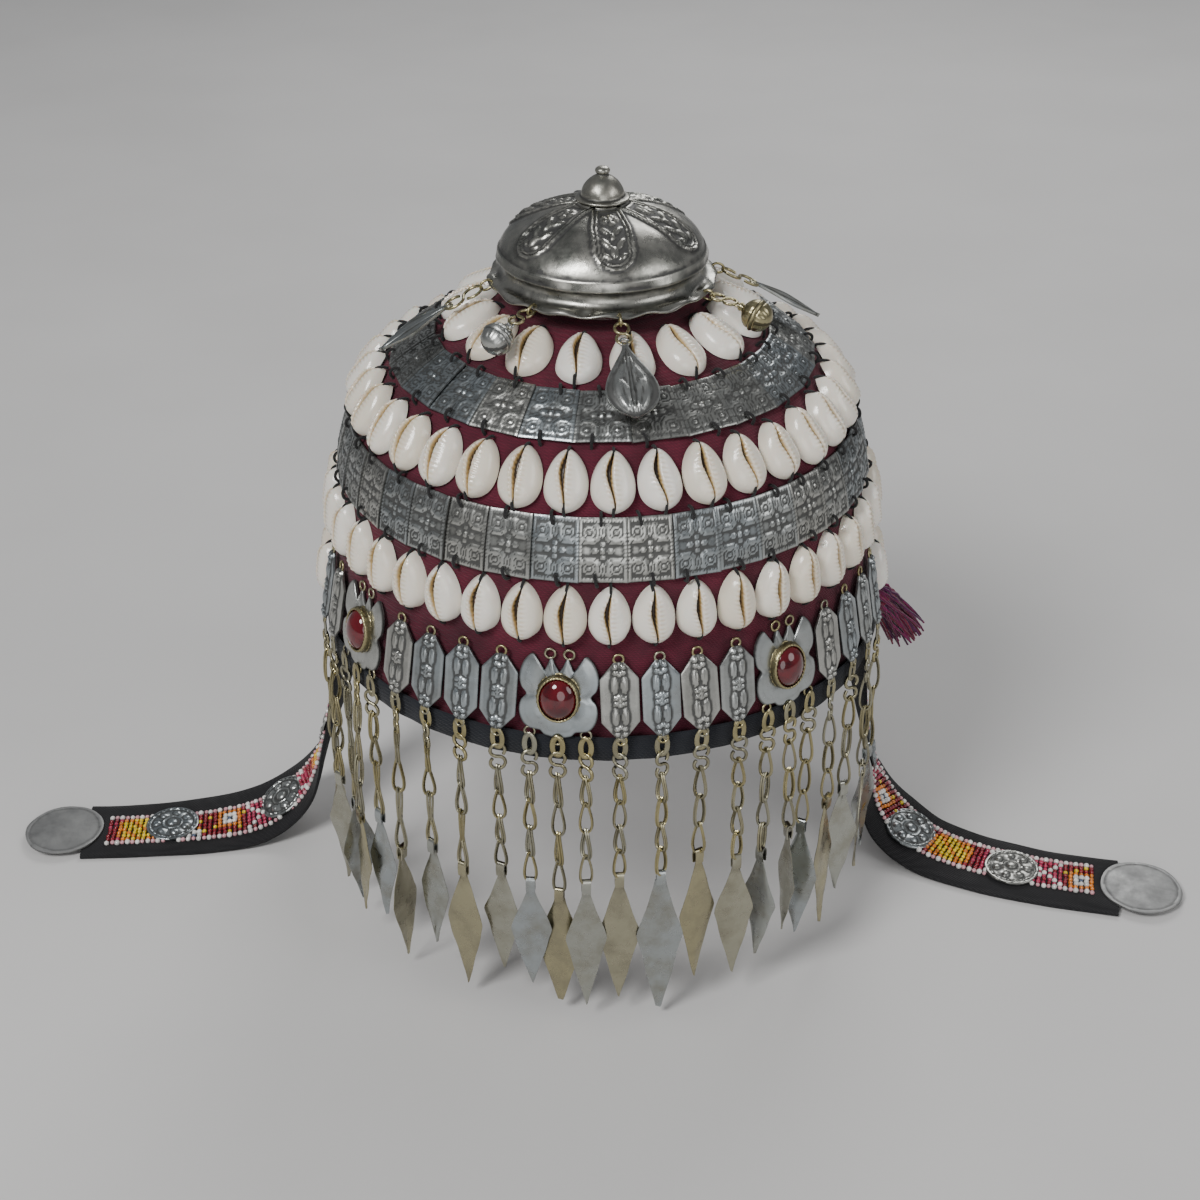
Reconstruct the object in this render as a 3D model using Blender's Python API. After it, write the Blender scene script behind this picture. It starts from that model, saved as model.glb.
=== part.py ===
"""Embroidered folk hat: a domed cloth cap with rows of cowrie shells, bands of stamped plaques,
a metal crown with pendants, a fringe of chains and blades, and two bead-embroidered lappets.

Metres, +Z up, the front faces -Y. The origin is the centre of the rim's lower edge, where a head goes in.
Heights are measured from the rim. Azimuths are degrees round the hat: 0 at the front, +90 at +X.
"""
import math

import bmesh
import bpy
from mathutils import Matrix, Vector

MM = 0.001
GAP = 0.3 * MM                    # between pieces that touch
JOIN = 0.3 * MM                   # depth by which parts of one piece run into each other

# The cloth cap
CAP_RADIUS = 94.6 * MM            # outside of the cloth at the rim
CAP_HEIGHT = 121.0 * MM
CLOTH = 2.0 * MM
CAP_SIDES = 40

# Outline of the cloth from rim to top, as shares of the cap's height and radius
CAP_OUTLINE = (
    # height, radius
    (0.000, 1.000),
    (0.107, 0.992),
    (0.215, 0.976),
    (0.314, 0.959),
    (0.397, 0.943),
    (0.479, 0.930),
    (0.562, 0.911),
    (0.645, 0.876),
    (0.719, 0.818),
    (0.781, 0.742),
    (0.835, 0.655),
    (0.884, 0.552),
    (0.926, 0.444),
    (0.963, 0.328),
    (0.990, 0.169),
    (1.000, 0.000),
)

# The cloth band round the rim
BAND_HEIGHT = 8.5 * MM
BAND_WALL = 1.2 * MM

# The metal crown and its knob
CROWN_RADIUS = 33.6 * MM          # at the ridge
CROWN_HEIGHT = 18.0 * MM          # from the ridge to the top
CROWN_WALL = 0.9 * MM
FLANGE_REACH = 3.2 * MM           # how far the flange stands out past the ridge
FLANGE_HEIGHT = CAP_HEIGHT + 1.6 * MM    # underside of the flange
FLANGE_WAVE = 0.45 * MM
FLANGE_WAVES = 12
NECK_HEIGHT = 7.5 * MM            # from the flange's underside to the ridge
COLLAR_RADIUS = 28.5 * MM         # the hidden tube that stands on the cloth
KNOB_RADIUS = 8.6 * MM
KNOB_HEIGHT = 10.8 * MM
BEAD_RADIUS = 2.4 * MM
CROWN_SIDES = 32

# Cowrie shells, long axis up the wall
SHELL_DEPTH = 6.2 * MM
THREAD = 0.5 * MM                 # half the width of the threads that join repeated pieces
SHELL_THREAD = 1.6 * MM           # height of the shells' thread over the cloth

# Rows of shells: height of their middles as a share of the cap's height
SHELL_ROWS = (
    # name, height, shells, first azimuth, last azimuth, length, width
    ("cowrie_row_1", 0.921, 17, -9.3, 350.7, 20.5 * MM, 13.8 * MM),
    ("cowrie_row_2", 0.722, 35, -8.0, 352.0, 19.5 * MM, 13.2 * MM),
    ("cowrie_row_3", 0.402, 42, -7.2, 352.8, 19.5 * MM, 12.8 * MM),
    ("cowrie_row_4", 0.170, 23, 84.0, 276.0, 19.5 * MM, 12.8 * MM),
)

# Outline of a shell from end to end, as shares of its half length and half width
SHELL_OUTLINE = (
    # along, across
    (-1.00, 0.30),
    (-0.52, 0.92),
    (0.20, 1.00),
    (1.00, 0.36),
)
SHELL_CROWN = 0.55                # size of the shell's flat top against its foot

# Bands of stamped plaques: lower and upper edges as shares of the cap's height
PLAQUE_BANDS = (
    # name, lower edge, upper edge, plaques
    ("plaque_band_upper", 0.792, 0.876, 25),
    ("plaque_band_lower", 0.492, 0.650, 38),
)
PLAQUE_WALL = 0.8 * MM
PLAQUE_STEP = 0.5 * MM            # how far each plaque's edge laps over the next
PLAQUE_ROWS = 4

# Plaques round the rim, hung upright in front of the cap
RING_TOP = 36.3 * MM
RING_BOTTOM = 7.3 * MM
RING_WALL = 0.9 * MM
HEX_WIDTH = 12.0 * MM
HEX_POINT = 5.5 * MM              # height of the pointed ends
LOOP_WIDTH = 2.6 * MM
LOOP_HEIGHT = 1.8 * MM
FLOWER_WIDTH = 24.6 * MM
BEZEL_WALL = 0.8 * MM
BEZEL_HEIGHT = 1.9 * MM
STONE_WIDTH = 12.0 * MM
STONE_HEIGHT = 14.0 * MM
STONE_DEPTH = 4.6 * MM
HEX_GROUPS = (
    # name, azimuths
    ("hex_plaques_left_side", (-75.3, -67.5)),
    ("hex_plaques_left_front", (-42.7, -35.0, -27.3, -19.6)),
    ("hex_plaques_right_front", (3.2, 10.9, 18.4, 26.0)),
    ("hex_plaques_right_side", (49.2, 57.1, 65.0, 72.9)),
)
FLOWERS = (
    # name, azimuth
    ("left", -55.5),
    ("front", -8.2),
    ("right", 37.5),
)

# Outline of a flower plaque, as shares of its half width and half height, right half from the top
FLOWER_OUTLINE = (
    # across, up
    (0.00, 0.66),
    (0.22, 1.00),
    (0.46, 0.72),
    (0.86, 0.80),
    (1.00, 0.42),
    (0.80, 0.02),
    (1.00, -0.34),
    (0.83, -0.72),
    (0.83, -1.00),
    (0.63, -1.00),
    (0.63, -0.80),
    (0.40, -0.84),
    (0.26, -0.95),
    (0.10, -0.95),
    (0.10, -1.00),
)

# Fringe: one strand under each plaque's loop, hanging plumb
LINKS = 5
LINK_WIDTH = 4.6 * MM
LINK_NECK = 1.5 * MM
LINK_DEPTH = 1.3 * MM
BAIL_LENGTH = 5.0 * MM
BAIL_WIDTH = 3.0 * MM
BAIL_DEPTH = 1.8 * MM
BLADE_WIDTH = 13.0 * MM
BLADE_WALL = 0.9 * MM
STRANDS = (
    # azimuth, out mm, bail height mm, tip height mm, yaw of the blade
    (-75.3, 0.0, -51, -91, 25),
    (-67.5, 1.5, -47, -93, -30),
    (-60.7, 0.0, -50, -95, 78),
    (-55.5, 2.6, -49, -92, 10),
    (-50.3, 0.0, -45, -90, -8),
    (-42.7, 1.5, -52, -99, 78),
    (-35.0, 0.0, -44, -87, 8),
    (-27.3, 1.5, -47, -98, 0),
    (-19.6, 0.0, -44, -88, 8),
    (-13.4, 2.4, -46, -90, -10),
    (-8.2, 0.0, -51, -98, 4),
    (-3.0, 2.4, -45, -97, -8),
    (3.2, 0.0, -44, -96, 0),
    (10.9, 1.6, -43, -100, 5),
    (18.4, 0.0, -38, -91, -14),
    (26.0, 1.6, -43, -92, 12),
    (32.3, 0.0, -45, -90, 78),
    (37.5, 2.6, -38, -82, -70),
    (42.7, 0.0, -42, -90, 68),
    (49.2, 1.5, -37, -91, -10),
    (57.1, 0.0, -40, -86, 30),
    (65.0, 1.5, -40, -85, -18),
    (72.9, 0.0, -42, -86, 25),
)

# A blade from bail to tip, as shares of its length and half width
BLADE_OUTLINE = (
    # along, across
    (0.00, 0.16),
    (0.40, 1.00),
    (0.72, 0.46),
    (1.00, 0.06),
)

# Pendants of the crown: they hang from the flange and lie over the upper shells
PENDANT_LIFT = 8.0 * MM           # over the cloth, clear of the shells
PENDANT_SAG = 2.8 * MM            # how far below halfway a pendant bends over the shells
PENDANT_LINK_WIDTH = 3.0 * MM
PENDANT_WIRE = 0.9 * MM
PENDANTS = (
    # azimuth, form, height of the lower end as a share of the cap's height
    (8.0, "drop", 0.828),
    (62.0, "bell", 0.880),
    (100.0, "leaf", 0.800),
    (155.0, "bell", 0.890),
    (181.0, "drop", 0.828),
    (207.0, "bell", 0.890),
    (283.0, "leaf", 0.800),
    (324.0, "bell", 0.880),
)

# Body of each form: shares of the pendant's whole length, half width and half depth
PENDANT_FORMS = {
    # along, half width, half depth
    "drop": (
        (0.34, 1.1 * MM, 1.0 * MM),
        (0.50, 4.2 * MM, 1.3 * MM),
        (0.74, 8.0 * MM, 1.5 * MM),
        (0.90, 6.0 * MM, 1.3 * MM),
        (1.00, 1.2 * MM, 0.9 * MM),
    ),
    "bell": (
        (0.40, 1.2 * MM, 1.2 * MM),
        (0.48, 3.6 * MM, 3.4 * MM),
        (0.70, 5.0 * MM, 4.8 * MM),
        (0.90, 3.8 * MM, 3.6 * MM),
        (1.00, 1.4 * MM, 1.4 * MM),
    ),
    "leaf": (
        (0.34, 0.9 * MM, 0.8 * MM),
        (0.48, 3.2 * MM, 0.8 * MM),
        (0.66, 4.6 * MM, 0.8 * MM),
        (0.86, 2.6 * MM, 0.7 * MM),
        (1.00, 0.6 * MM, 0.5 * MM),
    ),
}

# Lappets: embroidered straps, sewn inside the rim, that fall past the fringe and run out sideways
STRAP_WIDTH = 32.0 * MM
STRAP_WALL = 2.0 * MM
LAPPET_DROP = 103.0 * MM          # from the rim down to the straps' middle where they lie level
LAPPET_REACH = 192.0 * MM         # from the middle of the hat to a strap's end

# Middle line of each strap: outward and backward as shares of the reach, down as a share of the drop,
# with the bearing of the strap's width in plan and its tilt towards the front, in degrees
LAPPET_ROUTES = {
    # outward, backward, down, bearing, tilt
    "left": (
        (0.4425, 0.1353, -0.100, 17, 0),
        (0.4450, 0.1360, 0.020, 17, 0),
        (0.480, 0.138, 0.220, 15, 2),
        (0.508, 0.130, 0.430, 12, 5),
        (0.534, 0.112, 0.620, 9, 9),
        (0.566, 0.090, 0.780, 6, 13),
        (0.612, 0.066, 0.890, 4, 14),
        (0.680, 0.042, 0.962, 3, 10),
        (0.770, 0.026, 0.992, 2, 4),
        (0.890, 0.014, 1.000, 2, 0),
        (1.030, 0.004, 1.000, 1, 0),
    ),
    "right": (
        (0.4425, 0.1353, -0.100, 17, 0),
        (0.4450, 0.1360, 0.020, 17, 0),
        (0.478, 0.134, 0.220, 13, 2),
        (0.502, 0.122, 0.440, 7, 5),
        (0.520, 0.098, 0.650, 0, 8),
        (0.540, 0.064, 0.820, -8, 10),
        (0.574, 0.018, 0.925, -15, 9),
        (0.632, -0.040, 0.980, -18, 5),
        (0.724, -0.092, 0.998, -17, 1),
        (0.845, -0.137, 1.000, -14, 0),
        (0.990, -0.170, 1.000, -11, 0),
    ),
}
DISC_RADIUS = 10.0 * MM
DISC_WALL = 1.2 * MM
DISC_STEP = 2.2 * MM              # between the sections of the discs and their thread
DISC_LIFT = 0.8 * MM              # over the strap, whose face is slightly hollow under them
DISC_PLACES = {
    # distances of the discs' middles along the strap, as shares of its length
    "left": (0.40, 0.60, 0.83),
    "right": (0.42, 0.61, 0.81),
}
MEDALLION_RADIUS = 14.6 * MM
MEDALLION_PAST = 8.0 * MM         # from a strap's end out to its medallion's middle

# Tassels at the back
TASSEL_RADIUS = 8.0 * MM
TASSELS = (
    # name, azimuth, length mm, how far it stands out mm
    ("tassel_right", 108.0, 36, 30),
    ("tassel_left", 236.0, 58, 7),
)
TASSEL_TOP = -0.75 * MM
TASSEL_OUTLINE = (
    # along, share of the radius
    (0.00, 0.06),
    (0.06, 0.14),
    (0.26, 0.16),
    (0.34, 0.50),
    (0.46, 0.62),
    (0.52, 0.46),
    (0.74, 0.86),
    (1.00, 1.00),
)


def make_material(name, colour, roughness, metallic=0.0):
    material = bpy.data.materials.new(name)
    material.use_nodes = True
    shader = material.node_tree.nodes["Principled BSDF"]
    shader.inputs["Base Color"].default_value = (*colour, 1.0)
    shader.inputs["Roughness"].default_value = roughness
    shader.inputs["Metallic"].default_value = metallic
    return material


def add_body(name, verts, faces, material):
    """Make one object from points and faces, with merged points and outward faces."""
    mesh = bpy.data.meshes.new(name)
    bm = bmesh.new()
    points = [bm.verts.new(v) for v in verts]
    for face in faces:
        bm.faces.new([points[i] for i in face])
    bmesh.ops.remove_doubles(bm, verts=bm.verts, dist=0.001 * MM)
    bmesh.ops.recalc_face_normals(bm, faces=bm.faces)
    bm.to_mesh(mesh)
    bm.free()
    mesh.shade_smooth()
    mesh.set_sharp_from_angle(angle=math.radians(35))
    mesh.materials.append(material)
    body = bpy.data.objects.new(name, mesh)
    bpy.context.scene.collection.objects.link(body)
    return body


def join_to(body, other):
    """Join another closed body to this one for good, and remove the other."""
    union = body.modifiers.new("join", "BOOLEAN")
    union.operation = "UNION"
    union.solver = "EXACT"
    union.object = other
    bpy.context.view_layer.update()
    graph = bpy.context.evaluated_depsgraph_get()
    mesh = bpy.data.meshes.new_from_object(body.evaluated_get(graph))
    body.modifiers.clear()
    old = body.data
    body.data = mesh
    bpy.data.meshes.remove(old)
    bpy.data.objects.remove(other)


def smooth_rows(rows, steps):
    """Points of a smooth curve through a table's rows."""
    out = []
    last = len(rows) - 1
    for i in range(last):
        before, here, after, beyond = (rows[min(max(k, 0), last)] for k in (i - 1, i, i + 1, i + 2))
        for step in range(steps):
            t = step / steps
            out.append(tuple(
                0.5 * (2 * b + (c - a) * t + (2 * a - 5 * b + 4 * c - d) * t * t
                       + (3 * b - a - 3 * c + d) * t ** 3)
                for a, b, c, d in zip(before, here, after, beyond)))
    out.append(tuple(rows[last]))
    return out


WALL = [(h * CAP_HEIGHT, r * CAP_RADIUS) for h, r in smooth_rows(CAP_OUTLINE, 8)]


def wall_at(height):
    """Radius of the cloth's outside at a height, and the outward normal there as (out, up)."""
    for (low, r_low), (high, r_high) in zip(WALL, WALL[1:]):
        if height <= high:
            break
    share = (height - low) / (high - low)
    slope = Vector((high - low, r_low - r_high)).normalized()
    return r_low + (r_high - r_low) * share, slope


def outward(azimuth):
    angle = math.radians(azimuth)
    return Vector((math.sin(angle), -math.cos(angle), 0))


def place(azimuth, radius, height, slope=Vector((1, 0))):
    """Frame on the hat: x to the right seen from outside, y up the wall, z outward."""
    out = outward(azimuth)
    right = Vector((-out.y, out.x, 0))
    normal = out * slope.x + Vector((0, 0, slope.y))
    up = normal.cross(right)
    frame = Matrix((right, up, normal)).transposed().to_4x4()
    frame.translation = out * radius + Vector((0, 0, height))
    return frame


def place_on_wall(azimuth, height, lift):
    radius, slope = wall_at(height)
    frame = place(azimuth, radius, height, slope)
    frame.translation += frame.to_3x3() @ Vector((0, 0, lift))
    return frame


def tube_rows(verts_per_row, rows):
    """Faces of a closed loft whose points are numbered row by row."""
    n = verts_per_row
    faces = [tuple(reversed(range(n))), tuple((rows - 1) * n + i for i in range(n))]
    for row in range(rows - 1):
        for i in range(n):
            a, b = row * n + i, row * n + (i + 1) % n
            faces.append((a, b, b + n, a + n))
    return faces


def loft(name, sections, material):
    verts = [v for section in sections for v in section]
    return add_body(name, verts, tube_rows(len(sections[0]), len(sections)), material)


def turned(name, outline, sides, material, wave=None):
    """Turn a closed outline of (radius, height) points round the vertical axis."""
    verts = []
    for side in range(sides):
        angle = 2 * math.pi * side / sides
        for index, (radius, height) in enumerate(outline):
            extra = wave(index, angle) if wave else 0
            reach = radius + extra
            verts.append((reach * math.sin(angle), -reach * math.cos(angle), height))
    n = len(outline)
    faces = []
    for side in range(sides):
        here, there = side * n, (side + 1) % sides * n
        for i in range(n):
            j = (i + 1) % n
            if outline[i][0] == 0 and outline[j][0] == 0:
                continue
            corners = [here + i, there + i, there + j, here + j]
            if outline[i][0] == 0:
                corners.remove(there + i)
            if outline[j][0] == 0:
                corners.remove(there + j)
            faces.append(tuple(corners))
    return add_body(name, verts, faces, material)


def outline_inside(rows, wall):
    """The same outline moved inward by a wall."""
    out = []
    last = len(rows) - 1
    for i, (height, radius) in enumerate(rows):
        low, high = rows[max(i - 1, 0)], rows[min(i + 1, last)]
        normal = Vector((high[0] - low[0], low[1] - high[1])).normalized()
        out.append((height - wall * normal.y, max(radius - wall * normal.x, 0.0)))
    return out


def plate(name, outline, thickness, frame, material):
    """A flat plate: outline points in the frame's x and y, thickness from z 0 outward."""
    verts = [frame @ Vector((x, y, z)) for z in (0, thickness) for x, y in outline]
    return add_body(name, verts, tube_rows(len(outline), 2), material)


def bar(name, start, end, half_width, half_depth, material):
    """A straight bar of rectangular section between two points, deep along the way out."""
    along = (end - start).normalized()
    middle = (start + end) / 2
    out = Vector((middle.x, middle.y, 0)).normalized()
    side = along.cross(out).normalized()
    corners = ((-1, -1), (1, -1), (1, 1), (-1, 1))
    sections = [[p + side * half_width * a + out * half_depth * b for a, b in corners]
                for p in (start, end)]
    return loft(name, sections, material)


def flat_section(middle, across, through, half_width, half_depth, sides):
    """Points of a flattened ring: four for a strip, more for a round form."""
    turn = math.pi / 4 if sides == 4 else 0
    grow = math.sqrt(2) if sides == 4 else 1
    out = []
    for i in range(sides):
        angle = 2 * math.pi * i / sides + turn
        out.append(middle + across * (half_width * grow * math.cos(angle))
                   + through * (half_depth * grow * math.sin(angle)))
    return out


def build_cap(material):
    outside = [(h * CAP_HEIGHT, r * CAP_RADIUS) for h, r in CAP_OUTLINE]
    inside = outline_inside(outside, CLOTH)
    inside[0] = (0.0, CAP_RADIUS - CLOTH)
    inside[-1] = (CAP_HEIGHT - CLOTH, 0.0)
    outline = [(r, h) for h, r in outside] + [(r, h) for h, r in reversed(inside)]
    turned("cap_shell", outline, CAP_SIDES, material)


def band_radius():
    return (CAP_RADIUS + GAP) / math.cos(math.pi / CAP_SIDES)


def build_rim_band(material):
    inner = band_radius()
    outer = inner + BAND_WALL
    edge = BAND_WALL / 3
    outline = [
        (inner, 0),
        (outer - edge, 0),
        (outer, edge),
        (outer, BAND_HEIGHT - edge),
        (outer - edge, BAND_HEIGHT),
        (inner, BAND_HEIGHT),
    ]
    turned("rim_band", outline, CAP_SIDES, material)


def wall_height(radius):
    """Height of the cloth's outside at a radius."""
    for (low, r_low), (high, r_high) in zip(WALL, WALL[1:]):
        if radius >= r_high:
            break
    return low + (high - low) * (r_low - radius) / (r_low - r_high)


def flange_radius(angle):
    return CROWN_RADIUS + FLANGE_REACH + FLANGE_WAVE * math.sin(FLANGE_WAVES * angle)


def build_crown(material):
    ridge = FLANGE_HEIGHT + NECK_HEIGHT
    flange = CROWN_RADIUS + FLANGE_REACH
    wall = CROWN_WALL
    neck = CROWN_RADIUS - 1.8 * wall
    foot = wall_height(COLLAR_RADIUS) + GAP
    dome = []
    for degrees in (0, 10, 24, 40, 56, 72):
        angle = math.radians(degrees)
        dome.append((CROWN_RADIUS * math.cos(angle) ** 1.08, ridge + CROWN_HEIGHT * math.sin(angle)))
    outside = [
        (COLLAR_RADIUS + wall, foot),
        (COLLAR_RADIUS + wall, FLANGE_HEIGHT),
        (flange, FLANGE_HEIGHT),
        (flange, FLANGE_HEIGHT + wall),
        (neck, FLANGE_HEIGHT + 2.6 * wall),
        (neck, ridge - 2 * wall),
    ] + dome + [(0.0, ridge + CROWN_HEIGHT)]
    inside = [(0.0, ridge + CROWN_HEIGHT - wall)]
    inside += [(r - wall, h - wall * 0.6) for r, h in reversed(dome)]
    inside += [
        (neck - wall, ridge - 2 * wall),
        (COLLAR_RADIUS, FLANGE_HEIGHT + 2 * wall),
        (COLLAR_RADIUS, foot),
    ]
    rim = (2, 3)

    def wave(index, angle):
        return flange_radius(angle) - flange if index in rim else 0

    turned("crown_dome", outside + inside, CROWN_SIDES, material, wave)


def build_knob(material):
    base = FLANGE_HEIGHT + NECK_HEIGHT + CROWN_HEIGHT + GAP
    body = KNOB_HEIGHT - 2 * BEAD_RADIUS
    outline = [
        (0.0, base),
        (KNOB_RADIUS, base),
        (KNOB_RADIUS, base + 0.16 * body),
        (0.82 * KNOB_RADIUS, base + 0.22 * body),
        (0.74 * KNOB_RADIUS, base + 0.52 * body),
        (0.50 * KNOB_RADIUS, base + 0.84 * body),
        (0.20 * KNOB_RADIUS, base + body),
        (BEAD_RADIUS, base + body + 0.8 * BEAD_RADIUS),
        (0.75 * BEAD_RADIUS, base + body + 1.6 * BEAD_RADIUS),
        (0.0, base + KNOB_HEIGHT),
    ]
    turned("crown_knob", outline, 20, material)


def shell_azimuths(count, first, last):
    whole = last - first >= 360
    step = (last - first) / (count if whole else count - 1)
    return [first + step * i for i in range(count)]


def build_shell_row(name, height, count, first, last, length, width, material):
    """Shells round the cap, with the thread that runs through them."""
    azimuths = shell_azimuths(count, first, last)
    verts, faces = [], []
    across = list(SHELL_OUTLINE) + [(along, -side) for along, side in reversed(SHELL_OUTLINE)]
    for azimuth in azimuths:
        frame = place_on_wall(azimuth, height * CAP_HEIGHT, GAP)
        start = len(verts)
        for size, lift in ((1.0, 0.0), (SHELL_CROWN, SHELL_DEPTH)):
            for along, side in across:
                verts.append(frame @ Vector((side * size * width / 2, -along * size * length / 2, lift)))
        faces += [tuple(start + i for i in face) for face in tube_rows(len(across), 2)]
    row = add_body(name, verts, faces, material)
    step = azimuths[1] - azimuths[0]
    joints = [azimuth + step / 2 for azimuth in azimuths]
    if last - first < 360:
        joints = joints[:-1]
    for azimuth in joints:
        ends = []
        for side in (-0.6, 0.6):
            end = place_on_wall(azimuth + side * step / 2, height * CAP_HEIGHT, GAP + SHELL_THREAD)
            ends.append(end.translation)
        join_to(row, bar("thread", ends[0], ends[1], THREAD, THREAD, material))
    return row


def build_plaque_band(name, lower, upper, count, material):
    """A ring of plaques: each is flat from side to side, and its right edge laps over the next."""
    verts, faces = [], []
    heights = [CAP_HEIGHT * (lower + (upper - lower) * i / (PLAQUE_ROWS - 1)) for i in range(PLAQUE_ROWS)]
    flat = 1 / math.cos(math.pi / count)
    for number in range(count):
        azimuth = 360 * number / count
        for inner, outer in ((GAP, GAP + PLAQUE_WALL), (GAP, GAP + PLAQUE_WALL + PLAQUE_STEP)):
            for lift in (inner, outer):
                for height in heights:
                    radius, slope = wall_at(height)
                    reach = (radius + lift * slope.x) * flat
                    point = outward(azimuth) * reach
                    verts.append((point.x, point.y, height + lift * slope.y))
    rows = PLAQUE_ROWS
    column = 2 * rows
    for number in range(count):
        low = (2 * number) * column
        high = low + column
        following = (2 * number + 2) % (2 * count) * column
        for i in range(rows - 1):
            j = i + 1
            faces.append((high + rows + i, following + rows + i, following + rows + j, high + rows + j))
            faces.append((low + rows + i, high + rows + i, high + rows + j, low + rows + j))
            faces.append((high + i, high + j, following + j, following + i))
        faces.append((high, following, following + rows, high + rows))
        top = rows - 1
        faces.append((high + top, high + rows + top, following + rows + top, following + top))
        faces.append((low, low + rows, high + rows))
        faces.append((low + top, high + rows + top, low + rows + top))
    return add_body(name, verts, faces, material)


def ring_foot():
    """Radius of the backs of the rim's plaques at their lower ends."""
    return band_radius() + BAND_WALL + GAP + 2 * THREAD


def ring_plate_frame(azimuth, lift=0.0):
    """Frame of a rim plaque's back, leaning in from the rim band to the cloth above."""
    bottom = ring_foot()
    top = wall_at(RING_TOP)[0] + GAP + 2 * THREAD
    lean = Vector((RING_TOP - RING_BOTTOM, bottom - top)).normalized()
    return place(azimuth, (bottom + top) / 2 + lift, (RING_TOP + RING_BOTTOM) / 2, lean)


def hex_outline():
    half = HEX_WIDTH / 2
    top = (RING_TOP - RING_BOTTOM) / 2
    body = top - LOOP_HEIGHT
    ear = LOOP_WIDTH / 2
    right = [
        (ear, top),
        (ear, body),
        (half, body - HEX_POINT),
        (half, HEX_POINT - body),
        (ear, -body),
        (ear, -top),
    ]
    return right + [(-x, y) for x, y in reversed(right)]


def build_hex_group(name, azimuths, material):
    group = None
    for azimuth in azimuths:
        piece = plate("hex", hex_outline(), RING_WALL, ring_plate_frame(azimuth), material)
        if group:
            join_to(group, piece)
        else:
            group = piece
    group.name = name
    for here, there in zip(azimuths, azimuths[1:]):
        for height in (-0.30, 0.30):
            level = Vector((0, height * (RING_TOP - RING_BOTTOM), 0.4 * JOIN))
            start, end = (ring_plate_frame(azimuth) @ level for azimuth in (here, there))
            left, right = start.lerp(end, 0.2), start.lerp(end, 0.8)
            join_to(group, bar("thread", left, right, THREAD, THREAD, material))


def ellipse(width, height, sides=20):
    angles = [2 * math.pi * i / sides for i in range(sides)]
    return [(width / 2 * math.cos(angle), height / 2 * math.sin(angle)) for angle in angles]


def ring(name, inner, outer, low, high, frame, material):
    """A closed wall between two outlines of as many points."""
    n = len(inner)
    rows = [(outline, z) for outline in (inner, outer) for z in (low, high)]
    verts = [frame @ Vector((x, y, z)) for outline, z in rows for x, y in outline]
    faces = []
    for i in range(n):
        j = (i + 1) % n
        faces.append((i, i + n, j + n, j))
        faces.append((2 * n + i, 2 * n + j, 3 * n + j, 3 * n + i))
        faces.append((n + i, 3 * n + i, 3 * n + j, n + j))
        faces.append((i, j, 2 * n + j, 2 * n + i))
    return add_body(name, verts, faces, material)


def build_flower(name, azimuth, metal, glass):
    frame = ring_plate_frame(azimuth, -2 * THREAD)
    right = [(x * FLOWER_WIDTH / 2, y * (RING_TOP - RING_BOTTOM) / 2) for x, y in FLOWER_OUTLINE]
    outline = right + [(-x, y) for x, y in reversed(right) if x > 0]
    flower = plate("flower_plaque_" + name, outline, RING_WALL, frame, metal)
    inner = ellipse(STONE_WIDTH + 2 * GAP, STONE_HEIGHT + 2 * GAP)
    outer = ellipse(STONE_WIDTH + 2 * GAP + 2 * BEZEL_WALL, STONE_HEIGHT + 2 * GAP + 2 * BEZEL_WALL)
    bezel = ring("bezel", inner, outer, RING_WALL - JOIN, RING_WALL + BEZEL_HEIGHT, frame, metal)
    join_to(flower, bezel)
    sections = []
    foot = RING_WALL + GAP
    for share, size in ((0.0, 1.0), (0.30, 0.97), (0.62, 0.80), (0.86, 0.50), (1.0, 0.16)):
        level = foot + share * STONE_DEPTH
        sections.append([frame @ Vector((x * size, y * size, level))
                         for x, y in ellipse(STONE_WIDTH, STONE_HEIGHT, 16)])
    loft("stone_" + name, sections, glass)


def build_strand(number, azimuth, stand, bail_height, tip_height, yaw, material):
    """A chain of links, the folded bail and the blade, on a line that ends a little way out."""
    top = RING_BOTTOM - GAP
    right = Vector((math.cos(math.radians(azimuth)), math.sin(math.radians(azimuth)), 0))
    out = outward(azimuth)
    sections = []

    def add(height, half_width, half_depth, turn):
        angle = math.radians(turn)
        across = right * math.cos(angle) + out * math.sin(angle)
        through = out * math.cos(angle) - right * math.sin(angle)
        reach = ring_foot() + RING_WALL / 2 + stand * min((top - height) / (top - bail_height), 1)
        middle = out * reach + Vector((0, 0, height))
        sections.append(flat_section(middle, across, through, half_width, half_depth, 4))

    link = (top - bail_height) / LINKS
    for index in range(LINKS):
        add(top - index * link, LINK_NECK / 2, LINK_DEPTH / 2, 0)
        add(top - (index + 0.62) * link, LINK_WIDTH / 2, LINK_DEPTH / 2, 0)
    add(bail_height, LINK_NECK / 2, LINK_DEPTH / 2, 0)
    add(bail_height - 0.2 * BAIL_LENGTH, BAIL_WIDTH / 2, BAIL_DEPTH / 2, yaw / 2)
    add(bail_height - BAIL_LENGTH, BAIL_WIDTH / 2, BAIL_DEPTH / 2, yaw)
    blade_top = bail_height - BAIL_LENGTH - GAP
    for along, across in BLADE_OUTLINE:
        height = blade_top + (tip_height - blade_top) * along
        add(height, BLADE_WIDTH / 2 * across, BLADE_WALL / 2, yaw)
    loft("strand_%02d" % number, sections, material)


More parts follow.
